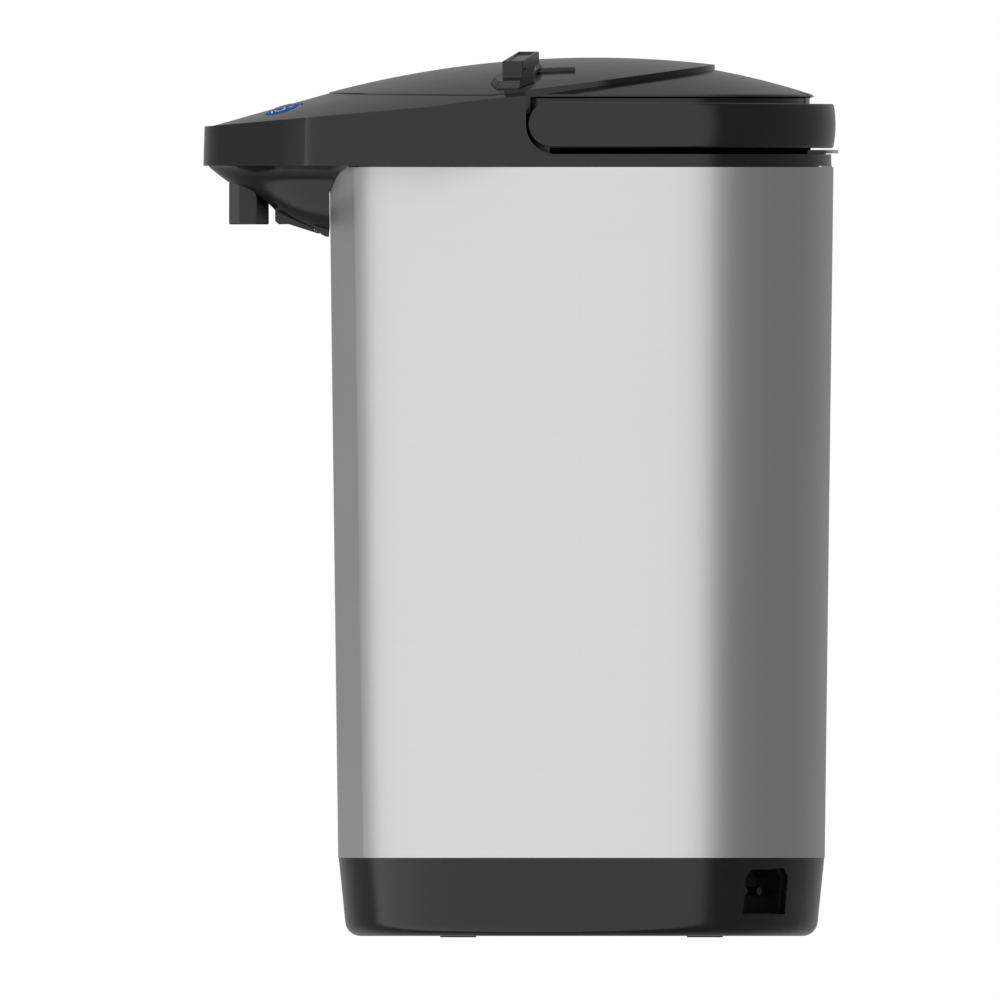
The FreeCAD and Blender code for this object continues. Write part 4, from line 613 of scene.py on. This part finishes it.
def beside_axis(along, across):
    """Plan points from distances along the slider, 0 at its inner end, and across it."""
    run = (SLIDER_OUTER - SLIDER_INNER) / np.linalg.norm(SLIDER_OUTER - SLIDER_INNER)
    return (SLIDER_INNER + np.multiply.outer(along, run)
            + np.multiply.outer(across, [-run[1], run[0]]))


def on_crown(plan, rise):
    """A plan's points at a height above the crown."""
    return np.column_stack([plan, crown(*plan.T) + rise])


def slider_ring(share, drop):
    """The block's top outline drawn in towards its middle by a share along X and Z and another
    along Y, and lowered by a drop."""
    ring = np.column_stack([block_plan, block_top])
    return ring + (block_middle - ring) * np.array([share[0], share[1], share[0]]) - [0, 0, drop]


slider_run = math.dist(SLIDER_INNER, SLIDER_OUTER)
outer_end = slider_run / SKIRT_LENGTH
one_side = np.array([SLIDER_HALF, SKIRT_NECK_HALF, SKIRT_NECK_HALF, SKIRT_HALF, SKIRT_END_HALF])
half_along = np.array([-0.5, 0.0, 1.0, outer_end, outer_end + 1]) * SKIRT_LENGTH
skirt_plan = rounded_plan(beside_axis(np.concatenate([half_along, half_along[::-1]]),
                                      np.concatenate([-one_side, one_side[::-1]])),
                          SKIRT_ROUNDING, SLIDER_STEPS)
skirt_upper = skirt_plan + (skirt_plan.mean(0) - skirt_plan) * SKIRT_LEAN
skirt = lofted("slider_skirt", np.stack([on_crown(skirt_plan, -SKIRT_SUNK),
                                         on_crown(skirt_plan, SKIRT_EDGE),
                                         on_crown(skirt_upper, SKIRT_RISE)]))
block_plan = rounded_plan(beside_axis(np.array([0, slider_run, slider_run, 0.0]),
                                      np.array([-1, -1, 1, 1.0]) * SLIDER_HALF),
                          SLIDER_ROUNDING, SLIDER_STEPS)
along = (block_plan - SLIDER_INNER) @ (SLIDER_OUTER - SLIDER_INNER) / slider_run ** 2
block_top = SLIDER_INNER_TOP + (SLIDER_OUTER_TOP - SLIDER_INNER_TOP) * along
block_middle = np.append(block_plan.mean(0), block_top.mean())
block = lofted("slider_block", np.stack([on_crown(block_plan, 0)]
                                        + [slider_ring(*ring) for ring in SLIDER_RINGS]))
for piece in (skirt, block):
    piece.data.materials.append(black_plastic)
    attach(piece, "slider")
    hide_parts("lock_slider")


# Shade under the handle: a thin matt near-black strip round the collar where the handle lies,
# painted shade that stands for the shadow in the gap under the handle. It is what shows as the
# black line there.
COLLAR_RADIUS, COLLAR_Y = 0.0888, 0.02365
SHADE_STRIP_FOOT, SHADE_STRIP_TOP, SHADE_STRIP_THICK = 0.3055, 0.3080, 0.0006
SHADE_STRIP_FROM, SHADE_STRIP_STEPS = math.radians(-8), 181

sweep = np.linspace(SHADE_STRIP_FROM, math.pi - SHADE_STRIP_FROM, SHADE_STRIP_STEPS)
section = np.array([(0, SHADE_STRIP_FOOT), (SHADE_STRIP_THICK, SHADE_STRIP_FOOT), (SHADE_STRIP_THICK, SHADE_STRIP_TOP),
                    (0, SHADE_STRIP_TOP)])
strip = lofted("painted_shade_strip", np.stack([
    np.outer(np.cos(sweep), COLLAR_RADIUS + section[:, 0]),
    COLLAR_Y + np.outer(np.sin(sweep), COLLAR_RADIUS + section[:, 0]),
    np.broadcast_to(section[:, 1], (SHADE_STRIP_STEPS, len(section)))], -1))
# Painted shade: near-black with almost no shine, so the strip reads as the shadow in the gap.
strip.data.materials.append(matt(moulded("painted_shade_black", (0.003, 0.003, 0.003), 0.95, 0.8, 2200.0),
                                 0.02))
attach(strip, "root")


# Rubber and silicone: feet and bellows of black rubber; seals, hose and spout pipe of milky
# silicone. They are the CAD solids, but for the bellows.
black_rubber = moulded("black_rubber", (0.02, 0.02, 0.02), 0.65, 0.5, 900.0)
dress(black_rubber, "base_feet", "bellows")
dress(moulded("milky_silicone", (0.62, 0.62, 0.58), 0.5, 0.3), "pot_gasket", "lid_gasket",
      "pump_hose", "spout_pipe")


# Bellows: the rubber air pump under the push plate, blown with six folds and a thin even wall. It
# stands on the lid's plug.
BELLOWS_Y, BELLOWS_FOOT, BELLOWS_TOP = 0.02115, 0.3061, 0.3362
BELLOWS_RADIUS, BELLOWS_FOLD, BELLOWS_WALL, BELLOWS_FOLDS = 0.031, 0.005, 0.0009, 6
FOLD_STEPS, BELLOWS_SIDES = 24, 96

rise = np.linspace(0, 1, FOLD_STEPS * BELLOWS_FOLDS + 1)
fold = BELLOWS_RADIUS - BELLOWS_FOLD / 2 * (1 - np.cos(2 * np.pi * BELLOWS_FOLDS * rise))
wall_radius = np.concatenate([fold, fold[::-1] - BELLOWS_WALL])
wall_height = BELLOWS_FOOT + np.concatenate([rise, rise[::-1]]) * (BELLOWS_TOP - BELLOWS_FOOT)
turn = np.linspace(0, 2 * np.pi, BELLOWS_SIDES + 1)[:-1]
folds = grid_mesh("bellows_folds", np.stack([
    np.outer(wall_radius, np.cos(turn)), BELLOWS_Y + np.outer(wall_radius, np.sin(turn)),
    np.repeat(wall_height[:, None], len(turn), 1)], -1), close_u=True, close_v=True)
folds.data.flip_normals()
folds.data.materials.append(black_rubber)
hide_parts("bellows")
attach(folds, "lid")
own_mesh(folds)


# Pale fittings: the rear tab that frees the lid, the latch bolt, and the white pump parts.
dress(moulded("pale_grey", (0.42, 0.42, 0.42), 0.35), "detach_tab", "latch_bolt")
dress(moulded("natural_white", (0.72, 0.72, 0.69), 0.4), "pump_housing", "impeller")


# Dark fittings: inlet housing, steam vent, handle pins and lever pin, in a plain black plastic.
dress(moulded("socket_black", (0.008, 0.008, 0.008), 0.2), "inlet_housing", "steam_vent",
      "handle_pins", "lever_pin")


# Metal inside: pot and lid plate of drawn stainless, zinc-plated fixings and pump parts, a cast
# heater plate, and inlet pins of brass coloured very dark as painted shade for the depth of the
# inlet socket. Only the drawn pieces have lines in one direction.
NO_DIRECTION = (1, 1, 1)
dress(satin_steel("drawn_steel", (0.62, 0.61, 0.6), 0.24, 10.0, FINE_LINES),
      "inner_pot", "lid_inner_plate")
dress(satin_steel("zinc_plate", (0.6, 0.61, 0.62), 0.3, 60.0, FINE_LINES, NO_DIRECTION),
      "rear_strip", "hinge_bracket", "hinge_pin", "release_pin", "base_screws", "pump_motor",
      "drive_magnet", "thermostat")
dress(satin_steel("cast_alloy", (0.7, 0.7, 0.71), 0.42, 80.0, CAST_LINES, NO_DIRECTION),
      "heater_plate")
# Painted shade: the brass is darkened to stand for the shade deep in the inlet socket.
dress(satin_steel("brass_in_painted_shade", (0.10, 0.085, 0.06), 0.35, 60.0, FINE_LINES, NO_DIRECTION),
      "inlet_pins")


# Boards: green laminate with their parts.
dress(moulded("green_laminate", (0.03, 0.2, 0.08), 0.4), "power_board", "control_board")
